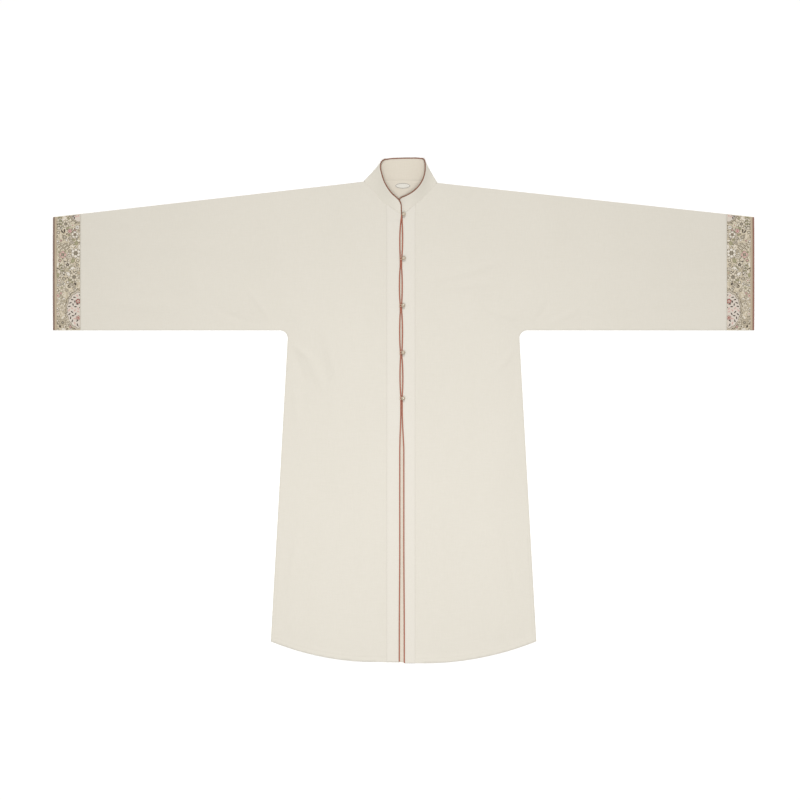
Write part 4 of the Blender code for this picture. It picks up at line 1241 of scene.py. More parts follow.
class Pattern:
    """Floss shapes of one cuff face, each with its tone and its layer over the ground."""

    def __init__(self, seed):
        self.draw = random.Random(seed)
        self.shapes = []
        self.taken = []

    def add(self, polygon, tone, layer):
        """Keep one convex shape."""
        out, rise = polygon[0]
        if out > PALE_FROM and rise < PALE_BELOW:
            tone = PALER.get(tone, tone)
        self.shapes.append((polygon, tone, layer))

    def line(self, points, width, tone, layer):
        """A line of even width."""
        for piece in ribbon(points, width):
            self.add(piece, tone, layer)

    def leaf(self, start, angle, length, half_width, tone, layer=1):
        """A pointed leaf with a dark outline."""
        for grow, colour in ((OUTLINE, "dark"), (0.0, tone)):
            sides = []
            for side in (1, -1):
                for share, swell in LEAF_SWELL[::side]:
                    on_rib = polar(start, length * share, angle)
                    sides.append(polar(on_rib, half_width * swell + grow, angle + side * math.pi / 2))
            tip = polar(start, length + grow, angle)
            self.add([polar(start, -grow, angle), *sides[3:][::-1], tip, *sides[:3][::-1]], colour, layer)
            layer += 1

    def petals(self, centre, count, turn, near, far, half_width, tone, layer, edge="dark", outline=OUTLINE):
        """A ring of outlined petals."""
        for grow, colour in ((outline, edge), (0.0, tone)):
            for index in range(count):
                angle = turn + 2 * math.pi * index / count
                self.add(petal(centre, angle, near - grow, far + grow, half_width + grow), colour, layer)
            layer += 1

    def flower(self, centre, radius, count, tones, layer=2):
        """A flower with two rings of petals and a seeded middle."""
        turn = self.draw.uniform(0, 1)
        outer, inner, middle = tones
        self.petals(centre, count, turn, radius * 0.20, radius, radius * 2.3 / count, outer, layer)
        self.petals(centre, count, turn + math.pi / count, radius * 0.10, radius * 0.52,
                    radius * 1.1 / count, inner, layer + 2, "sand")
        self.add(disc(centre, radius * 0.20), "dark", layer + 4)
        self.add(disc(centre, radius * 0.11, 6), middle, layer + 5)

    def roundel(self, centre, radius, tone):
        """A small round crest: rings about a turned rosette."""
        for share, colour in ((1.0, "dark"), (0.88, "sand"), (0.74, "dark"), (0.66, tone)):
            self.add(disc(centre, radius * share, 14), colour, 2)
            self.shapes[-1] = (self.shapes[-1][0], colour, 2 + round((1 - share) * 8))
        self.petals(centre, 6, 0.3, radius * 0.10, radius * 0.56, radius * 0.15, "cream", 6, "taupe")

    def lattice(self, centre, reach_u, reach_v, pitch):
        """Crossed threads with a spot in every opening."""
        rows = range(-math.ceil(reach_v / pitch), math.ceil(reach_v / pitch) + 1)
        columns = range(-math.ceil(reach_u / pitch), math.ceil(reach_u / pitch) + 1)
        quarter = pitch * 0.25
        for row in rows:
            for column in columns:
                spot = (centre[0] + (column + row % 2 / 2) * pitch, centre[1] + row * pitch / 2)
                if ((spot[0] - centre[0]) / reach_u) ** 2 + ((spot[1] - centre[1]) / reach_v) ** 2 < 1:
                    self.add(disc(spot, pitch * 0.24, 6), "black" if (row + column) % 3 else "white", 2)
                    for side in (1, -1):
                        ends = [(spot[0] + quarter + side * quarter * way, spot[1] + quarter * way)
                                for way in (-1, 1)]
                        self.line(ends, pitch * 0.12, "taupe", 1)

    def spray(self, start, angle, length, bend, tone):
        """A bending stem with leaves in pairs and a bud at its tip."""
        line = [start]
        for step in range(SPRAY_STEPS):
            line.append(polar(line[-1], length / SPRAY_STEPS, angle + bend * step / SPRAY_STEPS))
        self.line(line, STEM_WIDTH, "dark", 1)
        for step in range(1, SPRAY_STEPS):
            for side in (1, -1):
                lean = angle + bend * step / SPRAY_STEPS + side * LEAF_LEAN
                self.leaf(line[step], lean, length * 0.20, length * 0.050, tone if step % 2 else "cream", 1)
        self.petals(line[-1], 5, angle, 0.0004, length * 0.12, length * 0.05, "cream", 2)

    def clear(self, spot, radius):
        """Whether a spot is free, which is then kept."""
        if any(math.dist(spot, other) < radius + size for other, size in self.taken):
            return False
        self.taken.append((spot, radius))
        return True

    def filler(self, spot, radius):
        """One small motif for a gap."""
        kind = self.draw.random()
        turn = self.draw.uniform(0, 2 * math.pi)
        tone = self.draw.choice(("cream", "cream", "white", "sand", "cream", "rose"))
        if radius < SMALL_FILLER:
            self.add(disc(spot, radius * 1.1, 6), self.draw.choice(("black", "black", "white", "white")), 2)
        elif kind < 0.34:
            self.petals(spot, 5, turn, radius * 0.12, radius, radius * 0.40, tone, 2,
                        self.draw.choice(("black", "dark", "olive")))
            self.add(disc(spot, radius * 0.28, 6), self.draw.choice(("black", "dark", "red")), 4)
        elif kind < 0.62:
            tones = ("white", "cream", "sand", "dark")
            if radius <= LARGE_FILLER:
                tones = ("black", "black", "white", "white")
            for side in (1, -1):
                middle = polar(spot, radius * 0.5, turn + side * math.pi / 2)
                shape = petal(middle, turn + side * 0.35, -radius, radius, radius * 0.44, 8)
                self.add(shape, self.draw.choice(tones), 2)
        elif kind < 0.84:
            tone = self.draw.choice(("olive", "white", "white", "sand" if radius > LARGE_FILLER else "black"))
            root = polar(spot, radius * 0.9, turn + math.pi)
            for index in range(3):
                self.leaf(root, turn + 0.66 * (index - 1), radius * 1.9, radius * 0.34, tone)
        elif kind < 0.92:
            self.add(disc(spot, radius * 0.95, 10), "taupe", 1)
            self.add(disc(spot, radius * 0.72, 8), tone, 2)
            self.add(disc(spot, radius * 0.32, 6), "dark", 3)
        else:
            self.add([polar(spot, radius * 0.9, turn + math.pi / 2 * side) for side in range(4)], "taupe", 1)
            self.add([polar(spot, radius * 0.5, turn + math.pi / 2 * side) for side in range(4)], tone, 2)


# Large flowers of a cuff: distance from the sleeve seam, height over the underarm, radius, petals, tones
LARGE_FLOWERS = (
    (0.0150, 0.1330, 0.0110, 7, ("cream", "taupe", "white")),
    (0.0455, 0.1050, 0.0086, 6, ("cream", "olive", "white")),
    (0.0110, 0.1930, 0.0115, 6, ("white", "taupe", "cream")),
    (0.0435, 0.1890, 0.0085, 4, ("rose", "taupe", "white")),
    (0.0315, 0.1640, 0.0085, 5, ("cream", "dark", "white")),
    (0.0360, 0.2660, 0.0090, 6, ("cream", "taupe", "white")),
    (0.0455, 0.0560, 0.0080, 6, ("cream", "olive", "white")),
    (0.0440, 0.0190, 0.0086, 7, ("sand", "taupe", "white")),
    (0.0130, 0.2390, 0.0086, 5, ("white", "taupe", "rose")),
)
# Roundels: distance from the sleeve seam, height over the underarm, radius
ROUNDELS = (
    (0.0400, 0.1290, 0.0056), (0.0385, 0.2330, 0.0060), (0.0330, 0.0990, 0.0040), (0.0070, 0.1640, 0.0044),
)
# Scalloped medallions: middle, reach, lobes
MEDALLIONS = (((0.0000, 0.0500), (0.0365, 0.0490), 16), ((0.0000, 0.2960), (0.0270, 0.0270), 12))
# Blossoms in the first medallion: distance out, height from its middle, radius, tones
MEDALLION_BLOSSOMS = (
    (0.0050, 0.0225, 0.0060, ("red", "rose", "white")),
    (0.0050, -0.0190, 0.0056, ("rose", "red", "white")),
)
# Inside a medallion: rims of its pale field, its woven borders (share, width, tone), its rings of strokes
# (share, count), the length and the half width of a stroke
FIELD_RIMS = (0.02, 0.2, 0.4, 0.6, 0.8, 0.97)
BORDERS = ((1.0, 0.0016, "dark"), (0.94, 0.0020, "sand"), (0.885, 0.0013, "taupe"))
STROKE_RINGS = ((0.76, 24), (0.56, 18), (0.36, 12), (0.15, 6))
STROKE = (-0.0038, 0.0038, 0.0019)
SCALLOP_DEPTH = 0.06
# What a medallion keeps free of fillers: shares of its reach, radius of each kept spot
KEPT_RINGS = ((0.95, 0.0040), (0.6, 0.0090), (0.2, 0.0090))
# Sprays: start, angle, length, bend, tone
SPRAYS = (
    ((0.0520, 0.2880), -1.75, 0.0330, 0.5, "olive"),
    ((0.0250, 0.2120), 1.9, 0.0220, -0.7, "sand"),
    ((0.0520, 0.1660), -2.2, 0.0280, 0.9, "olive"),
    ((0.0500, 0.0900), -1.9, 0.0260, 0.4, "sand"),
    ((0.0380, 0.0360), -2.3, 0.0260, 1.1, "olive"),
    ((0.0280, 0.1180), -2.7, 0.0240, 0.9, "sand"),
)
# Lattice: middle, reach, pitch
LATTICE = ((0.0400, 0.2100), (0.0135, 0.0130), 0.0052)
# Fillers: radius, tries
FILLERS = ((0.0056, 300), (0.0042, 500), (0.0029, 1300), (0.0022, 1600), (0.0013, 2200))


def oval_point(medallion, share, angle):
    """A point at a share of a medallion's reach, at an angle from its middle."""
    middle, reach, _ = medallion
    return (middle[0] + reach[0] * share * math.cos(angle), middle[1] + reach[1] * share * math.sin(angle))


def medallion_edge(medallion, share_out, parts=112):
    """The scalloped outline of a medallion, scaled from its middle."""
    line = []
    for step in range(parts + 1):
        angle = 2 * math.pi * step / parts - math.pi / 2
        scallop = abs(math.sin(medallion[2] * angle / 2))
        line.append(oval_point(medallion, share_out * (1 + SCALLOP_DEPTH * scallop), angle))
    return line


def add_medallion(pattern, medallion):
    """A medallion's pale field, its borders and its rings of short strokes."""
    rims = [medallion_edge(medallion, share) for share in FIELD_RIMS]
    for inner, outer in zip(rims, rims[1:]):
        for index in range(0, len(inner) - 4, 4):
            if max(outer[index][0], outer[index + 4][0]) > 0:
                pattern.add([inner[index], outer[index], outer[index + 4], inner[index + 4]], "pale", 1)
    for share, width, tone in BORDERS:
        pattern.line(medallion_edge(medallion, share), width, tone, 2)
    middle = medallion[0]
    blossoms = [((middle[0] + out, middle[1] + rise), radius * 1.1)
                for out, rise, radius, _ in MEDALLION_BLOSSOMS]
    for ring, (share, count) in enumerate(STROKE_RINGS):
        for index in range(count):
            angle = 2 * math.pi * (index + ring % 2 / 2) / count
            spot = oval_point(medallion, share, angle)
            lean = angle + (0.7 if ring % 2 else -0.7) + (0.25 if index % 2 else -0.25)
            if spot[0] > 0 and all(math.dist(spot, blossom) > clear for blossom, clear in blossoms):
                pattern.add(petal(spot, lean, *STROKE, 8), "black" if index % 5 else "rose", 2)


def cuff_pattern(seed, fill):
    """All floss shapes of one cuff face, in distance from the sleeve seam and height over the underarm."""
    pattern = Pattern(seed)
    draw = pattern.draw
    for medallion in MEDALLIONS:
        add_medallion(pattern, medallion)
    for out, rise, radius, tones in MEDALLION_BLOSSOMS:
        pattern.flower((MEDALLIONS[0][0][0] + out, MEDALLIONS[0][0][1] + rise), radius, 5, tones, 3)
    for medallion in MEDALLIONS:
        for step in range(24):
            for share, radius in KEPT_RINGS:
                pattern.taken.append((oval_point(medallion, share, step / 24 * 2 * math.pi), radius))
    for out, rise, radius in ROUNDELS:
        pattern.taken.append(((out, rise), radius))
        pattern.roundel((out, rise), radius, "taupe")
    for out, rise, radius, count, tones in LARGE_FLOWERS:
        pattern.taken.append(((out, rise), radius))
        for index in range(5):
            angle = draw.uniform(-0.3, 0.3) + 2 * math.pi * (index + 0.5) / 5
            root = polar((out, rise), radius * 0.8, angle)
            lean = angle + draw.uniform(-0.4, 0.4)
            pattern.leaf(root, lean, radius * 0.8, radius * 0.22, draw.choice(("olive", "sand", "cream")))
        pattern.flower((out, rise), radius, count, tones)
    middle, reach, pitch = LATTICE
    pattern.lattice(middle, *reach, pitch)
    pattern.taken.append((middle, reach[1]))
    for start, angle, length, bend, tone in SPRAYS:
        pattern.spray(start, angle, length, bend, tone)
        for share in (0.25, 0.6, 0.9):
            pattern.taken.append((polar(start, length * share, angle + bend * share / 2), length * 0.13))
    for radius, tries in FILLERS:
        for _ in range(round(tries * fill)):
            spot = (draw.uniform(0.0, CUFF_BAND_WIDTH), draw.uniform(0.0, BAND_TALL))
            if pattern.clear(spot, radius):
                pattern.filler(spot, radius)
    return pattern.shapes


def free_lift(placed, points, layer):
    """The lowest height from a layer up at which a shape lies level with no shape that it overlaps."""
    low_u, low_v = np.min(points, axis=0)
    high_u, high_v = np.max(points, axis=0)
    others = np.array(placed).reshape(-1, 5)
    under = others[(others[:, 0] < high_u) & (others[:, 2] > low_u) & (others[:, 1] < high_v)
                   & (others[:, 3] > low_v), 4]
    lift = layer
    while np.any(np.abs(under - lift) < LIFT_STEP / 2):
        lift += LIFT_STEP
    placed.append((low_u, low_v, high_u, high_v, lift))
    return lift


def add_motifs(name, half, start_x, back):
    """The pattern on the front or the back of one cuff, as thin raised shapes in one mesh."""
    names = list(FLOSS)
    slope = (CUFF_TOP_Y - half.neck_y) / (SLEEVE_END_X - abs(half.neck_x))
    tall = float(shoulder_y(half, start_x)) - SLEEVE_LOW_Y
    bounds = (
        (-1.0, 0.0, -PATTERN_SIDE),
        (1.0, 0.0, CUFF_BAND_WIDTH - PATTERN_SIDE),
        (0.0, -1.0, -PATTERN_MARGIN),
        (-slope, 1.0, tall - PATTERN_MARGIN),
    )
    vertices = []
    faces = []
    slots = []
    placed = []
    for polygon, tone, layer in cuff_pattern(*(UNDER_PATTERN if back else UPPER_PATTERN)):
        points = clipped(polygon, bounds)
        if len(points) < 3 or abs(plan_area(points)) < LEAST_AREA:
            continue
        lift = free_lift(placed, points, layer)
        x = np.array([half.sign * (start_x + u) for u, _ in points])
        y = np.array([SLEEVE_LOW_Y + v for _, v in points])
        if back:
            face_z = np.full(len(x), RING_BOTTOM) - LAYER * UNDER_LAYER_SHARE * lift
            root_z = np.full(len(x), RING_BOTTOM) + LAYER
        else:
            face_z = sleeve_top(half, x, y) + LAYER * lift
            root_z = sleeve_top(half, x, y) - LAYER
        count = len(x)
        start = len(vertices)
        if (plan_area(list(zip(x, y))) > 0) == back:
            x, y, face_z, root_z = x[::-1], y[::-1], face_z[::-1], root_z[::-1]
        vertices.extend(zip(x, y, face_z))
        vertices.extend(zip(x, y, root_z))
        faces.append(tuple(range(start, start + count)))
        faces.append(tuple(start + 2 * count - 1 - index for index in range(count)))
        for index in range(count):
            beside = (index + 1) % count
            faces.append((start + count + index, start + count + beside, start + beside, start + index))
        slots.extend([names.index(tone)] * (count + 2))
    return make_object(name, vertices, faces, [FLOSS[tone] for tone in names], slots, smooth=False)


# Pieces

def dress(piece, nodes):
    """Tie a piece to the garment's body, and hide the part's nodes that it stands for."""
    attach(piece, "root")
    if nodes:
        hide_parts(*nodes)
    return piece


def bead_path(half):
    """The middle line of a piped front edge, from the hem to the collar."""
    rows = np.linspace(float(hem_y(half, OPENING_X)), OPENING_TOP_Y, BEAD_POINTS)
    return np.stack([bead_x(half, rows), rows, bead_z(half, rows)], axis=1)


def make_front(half):
    """A front with its piping and stitching."""
    hem, slit = sewn_lines(half)
    rows = beside_line(resampled(hem, SEWN_ROW_STEP), HEM_ASIDES)
    rows += beside_line(resampled(slit, SEWN_ROW_STEP), SLIT_ASIDES)
    outline = front_outline(half)
    rows = kept_inside(outline, rows)
    cloth = dress(add_shell(f"front_{half.name}_cloth", outline, lambda x, y: front_low(half, x, y),
                            lambda x, y: front_high(half, x, y), FRONT_GRID, [WOVEN["cream_cloth"]], rows),
                  [f"front_{half.name}"])
    bead = dress(add_piping(f"front_piping_{half.name}_bias", bead_path(half), BEAD_RADIUS, PIPING_EASE,
                            WOVEN["terracotta_satin"]),
                 [f"front_piping_{half.name}"])
    cuff_line = [(half.sign * (CUFF_SEAM_X - CUFF_STITCH_INSET), float(y))
                 for y in np.linspace(SLEEVE_LOW_Y + CUFF_STITCH_INSET, CUFF_TOP_Y, CUFF_STITCH_POINTS)]
    sewn = [on_surface(line, lambda x, y: front_high(half, x, y) + STITCH_SEAT)
            for line in (hem, slit, cuff_line)]
    stitches = dress(add_stitches(f"front_{half.name}_stitches", sewn, CREAM_THREAD), [])


def band_outline(half):
    """Closed outline of a placket band, and its stitched lines."""
    inner = edge_column(half)
    hem = float(hem_y(half, half.band_x))
    top = [point for point in neckline(half) if abs(point[0]) < abs(half.band_x)]
    after = next(point for point in neckline(half) if abs(point[0]) >= abs(half.band_x))
    share = (half.band_x - top[-1][0]) / (after[0] - top[-1][0])
    corner = (half.band_x, top[-1][1] + share * (after[1] - top[-1][1]))
    side = resampled([corner, (half.band_x, hem)], RIM_STEP)
    low = resampled([side[-1], inner[0]], RIM_STEP)
    return inner[:-1] + top + side + low[1:-1]


def make_placket(half):
    """The band sewn on a front beside its piped edge, with two stitched lines."""
    outline = band_outline(half)
    low_y = float(hem_y(half, half.band_x)) + BAND_STITCH_LOW
    outer_line = [(half.band_x - half.sign * BAND_STITCH_INSET, float(y))
                  for y in np.linspace(low_y, BAND_STITCH_TOP_Y, BAND_STITCH_POINTS)]
    inner_line = edge_column(half, BEAD_TOUCH + BEAD_STITCH_INSET)[1:-1]

    def low(x, y):
        """The band's underside, which comes down on the front along its outer edge."""
        edge_away = np.abs(x - half.band_x)
        return front_low(half, x, y) + CLOTH + SEAM_GAP * (1 - np.exp(-(edge_away / SEAM_REACH) ** 2))

    def high(x, y):
        """The band's upper face, drawn down along its stitched lines."""
        outer_away = (np.abs(x - half.band_x) - BAND_STITCH_INSET) / SEWN_REACH
        inner_away = (np.abs(x - bead_x(half, y)) - BEAD_TOUCH - BEAD_STITCH_INSET) / SEWN_REACH
        dip = SEWN_DIP * (np.exp(-outer_away ** 2) + np.exp(-inner_away ** 2))
        return low(x, y) + CLOTH - dip

    rows = beside_line(resampled(outer_line, SEWN_ROW_STEP), BAND_ASIDES)
    rows += beside_line(inner_line, BAND_ASIDES)
    rows = kept_inside(outline, rows)
    cloth = dress(add_shell(f"placket_{half.name}_cloth", outline, low, high, BAND_GRID,
                            [WOVEN["band_cloth"]], rows),
                  [f"placket_{half.name}"])
    sewn = [on_surface(line, lambda x, y: high(x, y) + STITCH_SEAT) for line in (outer_line, inner_line)]
    stitches = dress(add_stitches(f"placket_{half.name}_stitches", sewn, CREAM_THREAD), [])


def under_seat(x, y):
    """Height of the middle of the stitches under the back, which stay clear of the ground."""
    return np.maximum(back_low(x, y) - STITCH_SEAT, STITCH_RADIUS)


def make_back():
    """The back with the back halves of both sleeves, and the stitching of its hem and slits."""
    outline = back_outline()
    rows = []
    sewn = []
    for half in (RIGHT, LEFT):
        hem, slit = sewn_lines(half)
        hem = [(OPENING_X, float(hem_y(half, OPENING_X)) + HEM_TURN - SEWN_REACH), *hem]
        rows += beside_line(resampled(hem, SEWN_ROW_STEP)[1:], HEM_ASIDES)
        rows += beside_line(resampled(slit, SEWN_ROW_STEP), SLIT_ASIDES)
        sewn += [on_surface(line, under_seat, -1.0) for line in (hem, slit)]
    rows = kept_inside(outline, rows)
    # The back's inside face takes the warmer copy of the cream cloth, painted warm shade
    cloth = dress(add_shell("back_cloth", outline, back_low, back_high, BACK_GRID,
                            [WOVEN["cream_cloth"], WOVEN["cream_painted_warm_shade"]], rows), ["back"])
    stitches = dress(add_stitches("back_stitches", sewn, CREAM_THREAD), [])


COLLAR_PARTS = 3
COLLAR_ROWS = 10
COLLAR_BULGE = 0.0006
COLLAR_RIM_STEPS = 3
COLLAR_TOP_ROUND = 0.6
COLLAR_SEAM_ROUND = 0.3
COLLAR_PIPING_PARTS = 6
# The piping's run up the right end and down the left end of the collar: shares of the end's height
RIGHT_END_SHARES = (0, 0.5)
LEFT_END_SHARES = (0.66, 0.33, 0)


def collar_section_points():
    """The middle surface of the collar, as lines of points from its seam to its piped edge."""
    loop = collar_loop(collar_lines(RIGHT), collar_lines(LEFT))
    tops = []
    for index, (low, high) in enumerate(loop):
        beside = [loop[max(index - 1, 0)][1], loop[min(index + 1, len(loop) - 1)][1]]
        off = max(keep_off(high - low, high - point) for point in beside if point != high)
        tops.append(high - (high - low).normalized() * off)
    lows = curve_through([low for low, _ in loop], COLLAR_PARTS)
    tops = curve_through(tops, COLLAR_PARTS)
    shares = np.linspace(0, 1, COLLAR_ROWS + 1)[None, :, None]
    return lows[:, None] * (1 - shares) + tops[:, None] * shares


def make_collar():
    """The standing collar, one interfaced band, with its stitched lines and its piping."""
    middle = collar_section_points()
    along = np.gradient(middle, axis=0)
    rise = np.gradient(middle, axis=1)
    normal = np.cross(along, rise)
    normal /= np.linalg.norm(normal, axis=2)[:, :, None]
    shares = np.linspace(0, 1, COLLAR_ROWS + 1)
    middle = middle + normal * (COLLAR_BULGE * np.sin(np.pi * shares))[None, :, None]
    outer = middle + normal * COLLAR_CLOTH / 2
    inner = middle - normal * COLLAR_CLOTH / 2
    up = rise / np.linalg.norm(rise, axis=2)[:, :, None]
    loops = []
    turns = [math.pi / 2 - math.pi * step / (COLLAR_RIM_STEPS + 1) for step in range(1, COLLAR_RIM_STEPS + 1)]
    for index in range(len(middle)):
        line = list(outer[index])
        for row, way, roundness in ((-1, 1, COLLAR_TOP_ROUND), (0, -1, COLLAR_SEAM_ROUND)):
            for angle in turns:
                across = normal[index, row] * math.sin(angle) + up[index, row] * math.cos(angle) * roundness
                line.append(middle[index, row] + COLLAR_CLOTH / 2 * way * across)
            if way > 0:
                line += list(inner[index][::-1])
        loops.append(line)
    count = len(loops[0])
    faces = [tuple(range(count))[::-1], tuple(range((len(loops) - 1) * count, len(loops) * count))]
    faces += quads(range(0, len(loops) * count, count), count)
    inner_from = COLLAR_ROWS + 1 + COLLAR_RIM_STEPS
    row_slots = [int(inner_from <= spot < inner_from + COLLAR_ROWS) for spot in range(count)]
    slots = [0, 0] + row_slots * (len(loops) - 1)
    # Two copies of the cream cloth on the collar: a warmer one, painted warm shade, and a paler one, painted
    # light
    cloth = dress(make_object("collar_cloth_painted_light", np.vstack(loops), faces,
                              [WOVEN["cream_painted_warm_shade"], WOVEN["collar_cloth_painted_light"]], slots),
                  ["collar"])
    lengths = np.linalg.norm(middle[:, -1] - middle[:, 0], axis=1)
    sewn = []
    for inset in (COLLAR_STITCH_INSET, None):
        line = []
        normals = []
        for index in range(1, len(middle) - 1):
            share = 1 - inset / lengths[index] if inset else BAND_STITCH_INSET / lengths[index]
            spot = share * COLLAR_ROWS
            low = min(int(spot), COLLAR_ROWS - 1)
            point = outer[index, low] * (1 - spot + low) + outer[index, low + 1] * (spot - low)
            line.append(point)
            normals.append(normal[index, low])
        sewn.append((line, normals))
    stitches = dress(add_stitches("collar_stitches", sewn, CREAM_THREAD), [])
    edges = collar_loop(COLLAR_RIGHT, COLLAR_LEFT)
    path = [tuple(edges[0][0].lerp(edges[0][1], share)) for share in RIGHT_END_SHARES]
    path += [tuple(high) for _, high in edges]
    path += [tuple(edges[-1][0].lerp(edges[-1][1], share)) for share in LEFT_END_SHARES]
    path = curve_through(path, COLLAR_PIPING_PARTS)
    # The collar's piping takes the darker copy of the terracotta, painted shade
    bead = dress(add_piping("collar_piping_bias", path, COLLAR_BEAD_RADIUS, COLLAR_PIPING_EASE,
                            WOVEN["terracotta_painted_shade"]),
                 ["collar_piping"])


def make_cuff(half):
    """The patterned band, the plain strip and the piped mouth of one sleeve."""
    start_x = CUFF_SEAM_X + SEAM_GAP / 2
    rings = (
        ("cuff", "jacquard", CUFF_BAND_WIDTH, 14, GROUND, 0.0, "jacquard"),
        ("cuff_strip", "weave", CUFF_STRIP_WIDTH, 4, WOVEN["tan_ribbed"], 0.00015, "tan_strip"),
        # The piped mouth: darkened terracotta, partly its own tone and partly painted shade
        ("cuff_edge", "bias", CUFF_EDGE_WIDTH, 6, WOVEN[f"terracotta_bias_{half.name}"], 0.0003, "piping"),
    )
    for name, look, width, steps, material, swell, slot in rings:
        node = f"{name}_{half.name}"
        ring = dress(add_ring(f"{node}_{look}", half, start_x, width, steps, material, swell), [node])
        parts = []
        if name == "cuff":
            parts = [dress(add_motifs(f"{node}_motifs_{face}", half, start_x, face == "under"), [])
                     for face in ("upper", "under")]
        start_x += width + SEAM_GAP


# A ball button: how its shank spreads at the foot, its steps and sides; its thread pad as radius and depth
# in seam gaps
FOOT_SPREAD = 1.15
FOOT_RISE = 0.0003
BALL_STEPS = 20
BALL_SIDES = 28
PAD = ((0, 1.6), (0.0024, 1.6), (0.0024, 0.8), (0.0019, 0.2), (0, 0))
PAD_SIDES = 16
# A loop's three twisted strands: turn along the cord, share of its radius aside, share of its radius
LOOP_STEPS = 12
LOOP_PARTS = 5
STRAND_TURN = 0.0036
STRAND_ASIDE = 0.48
STRAND_SHARE = 0.52
STRAND_SIDES = 8


def turned_mesh(profile, centre, sides):
    """Points and faces of a solid turned from a profile of radius and height."""
    vertices = [(centre[0], centre[1], profile[0][1]), (centre[0], centre[1], profile[-1][1])]
    for radius, z in profile[1:-1]:
        for side in range(sides):
            angle = 2 * math.pi * side / sides
            vertices.append((centre[0] + radius * math.cos(angle), centre[1] + radius * math.sin(angle), z))
    starts = [2 + row * sides for row in range(len(profile) - 2)]
    faces = quads(starts, sides)
    for side in range(sides):
        beside = (side + 1) % sides
        faces.append((0, 2 + beside, 2 + side))
        faces.append((1, starts[-1] + side, starts[-1] + beside))
    return vertices, faces


def band_top(half, x, y):
    """Height of the top of a placket band."""
    return front_low(half, x, y) + 2 * CLOTH + SEAM_GAP


def make_button(number, x, y):
    """A pearl ball on its shank, held to the band by thread, in a twisted cord loop."""
    foot = float(band_top(LEFT, x, y)) + SEAM_GAP
    clear = BALL_RADIUS + LOOP_RADIUS + SEAM_GAP
    middle = foot + LOOP_RADIUS + math.sqrt(clear ** 2 - LOOP_BEND ** 2)
    neck = math.asin(SHANK_RADIUS / BALL_RADIUS)
    profile = [(0, foot), (SHANK_RADIUS * FOOT_SPREAD, foot), (SHANK_RADIUS, foot + FOOT_RISE)]
    for step in range(BALL_STEPS):
        angle = neck + (math.pi - neck) * step / BALL_STEPS
        profile.append((BALL_RADIUS * math.sin(angle), middle - BALL_RADIUS * math.cos(angle)))
    profile.append((0, middle + BALL_RADIUS))
    dress(make_object(f"button_{number}_pearl", *turned_mesh(profile, (x, y), BALL_SIDES), [PEARL]),
          [f"button_{number}"])
    pad = [(radius, foot - SEAM_GAP * depth) for radius, depth in PAD]
    dress(make_object(f"button_{number}_thread", *turned_mesh(pad, (x, y), PAD_SIDES), [CREAM_THREAD]),
          [])
    z = foot + LOOP_RADIUS
    lapped = float(lap_angle(y)) > 0
    bead = float(bead_x(RIGHT, y))
    leg_x = LAPPED_LEG_X if lapped else bead
    leg = [] if lapped else [(bead - BEAD_RADIUS - aside, z - drop) for aside, drop in LEG_END]
    leg += [(leg_x, z), ((leg_x + x) / 2, z)]
    path = [(end_x, y + LOOP_BEND, end_z) for end_x, end_z in leg]
    for step in range(LOOP_STEPS + 1):
        angle = math.pi * (0.5 - step / LOOP_STEPS)
        path.append((x + LOOP_BEND * math.cos(angle), y + LOOP_BEND * math.sin(angle), z))
    path += [(end_x, y - LOOP_BEND, end_z) for end_x, end_z in reversed(leg)]
    line, _, across, upward = frames_along(curve_through(path, LOOP_PARTS))
    away = run_along(line)
    strands = []
    for strand in range(3):
        turn = (2 * np.pi * away / STRAND_TURN + 2 * np.pi * strand / 3)[:, None]
        route = line + LOOP_RADIUS * STRAND_ASIDE * (across * np.cos(turn) + upward * np.sin(turn))
        strands.append(tube_mesh(route, rounded_radii(route, LOOP_RADIUS * STRAND_SHARE), STRAND_SIDES))
    dress(make_object(f"loop_{number}_cord", *joined(strands), [LOOP_CORD]), [f"loop_{number}"])


LABEL_POINTS = 64
LABEL_GRID = 0.002
# The label's woven border: how far in, points, radius, sides
BORDER_INSET = 0.0012
BORDER_POINTS = 72
BORDER_RADIUS = 0.0004
BORDER_SIDES = 6


def label_oval(inset, parts):
    """The label's outline in plan, or a line inside it."""
    angles = [2 * math.pi * step / parts for step in range(parts + 1)]
    return [(LABEL_CENTRE[0] + (LABEL_SIZE[0] / 2 - inset) * math.cos(angle),
             LABEL_CENTRE[1] + (LABEL_SIZE[1] / 2 - inset) * math.sin(angle)) for angle in angles]


def make_label():
    """A blank oval label inside the back neck, with a narrow woven border."""
    outline = label_oval(0.0, LABEL_POINTS)[:-1]

    def low(x, y):
        """The label lies on the inside of the back."""
        return back_high(x, y) + SEAM_GAP / 3

    def high(x, y):
        """The label's upper face."""
        return low(x, y) + LABEL_CLOTH

    cloth = dress(add_shell("neck_label_woven", outline, low, high, LABEL_GRID, [WOVEN["label_woven"]]),
                  ["neck_label"])
    line, _ = on_surface(label_oval(BORDER_INSET, BORDER_POINTS), high)
    tube = tube_mesh(line, np.full(len(line), BORDER_RADIUS), BORDER_SIDES)
    border = dress(make_object("neck_label_border", *tube, [TAN_THREAD]), [])


# Stage

PHOTO_WIDTH = 2.003
PHOTO_CENTRE = (-0.0090, 0.0255)
CAMERA_LENS = 100.0
CAMERA_SENSOR = 36.0
CAMERA_CLIP = (0.1, 50.0)
FLOOR_REACH = 14.0


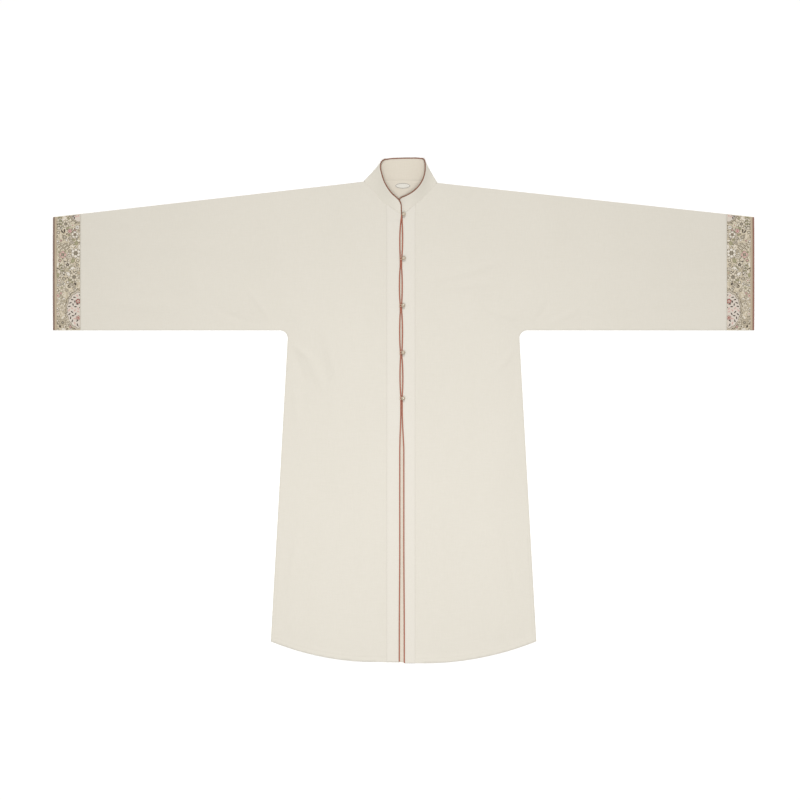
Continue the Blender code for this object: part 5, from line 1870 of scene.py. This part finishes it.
def make_floor():
    """A plain pale floor, well past the picture's edge."""
    corners = [(x * FLOOR_REACH, y * FLOOR_REACH, 0) for x, y in ((-1, -1), (1, -1), (1, 1), (-1, 1))]
    floor = make_object("floor", corners, [(0, 1, 2, 3)], [floor_material("pale_floor")], smooth=False)


def make_camera():
    """A camera straight above the garment, as in the photo."""
    data = bpy.data.cameras.new("camera")
    data.lens = CAMERA_LENS
    data.sensor_width = CAMERA_SENSOR
    data.clip_start, data.clip_end = CAMERA_CLIP
    camera = bpy.data.objects.new("camera", data)
    distance = PHOTO_WIDTH * CAMERA_LENS / CAMERA_SENSOR
    camera.location = (*PHOTO_CENTRE, distance + CLOTH * 3)
    bpy.context.scene.collection.objects.link(camera)
    bpy.context.scene.camera = camera


# Soft lights: name, place, size, power
LIGHTS = (
    ("overhead", (-0.03, -0.36, 2.0), 1.2, 20.3),
    ("side", (0.4, 8.1, 12.5), 2.4, 830.0),
)
WORLD_LIGHT = 0.54
WORLD_TINT = (1.0, 0.98, 0.94, 1.0)


def make_lights():
    """A broad lamp overhead, one far off beyond the collar, and an even sky."""
    for name, place, size, power in LIGHTS:
        data = bpy.data.lights.new(name, "AREA")
        data.shape = "DISK"
        data.size = size
        data.energy = power
        light = bpy.data.objects.new(name, data)
        light.location = place
        aim = Vector((place[0], place[1], 0)) if name == "overhead" else Vector((0, 0, 0))
        light.rotation_euler = (aim - Vector(place)).to_track_quat("-Z", "Y").to_euler()
        bpy.context.scene.collection.objects.link(light)
    world = bpy.data.worlds.new("studio")
    world.use_nodes = True
    world.node_tree.nodes["Background"].inputs["Color"].default_value = WORLD_TINT
    world.node_tree.nodes["Background"].inputs["Strength"].default_value = WORLD_LIGHT
    bpy.context.scene.world = world
    bpy.context.scene.view_settings.view_transform = "Standard"


make_floor()
make_camera()
make_lights()
make_back()
for side in (RIGHT, LEFT):
    make_front(side)
    make_placket(side)
    make_cuff(side)
make_collar()
for button_number, (button_x, button_y) in enumerate(BUTTONS, start=1):
    make_button(button_number, button_x, button_y)
make_label()
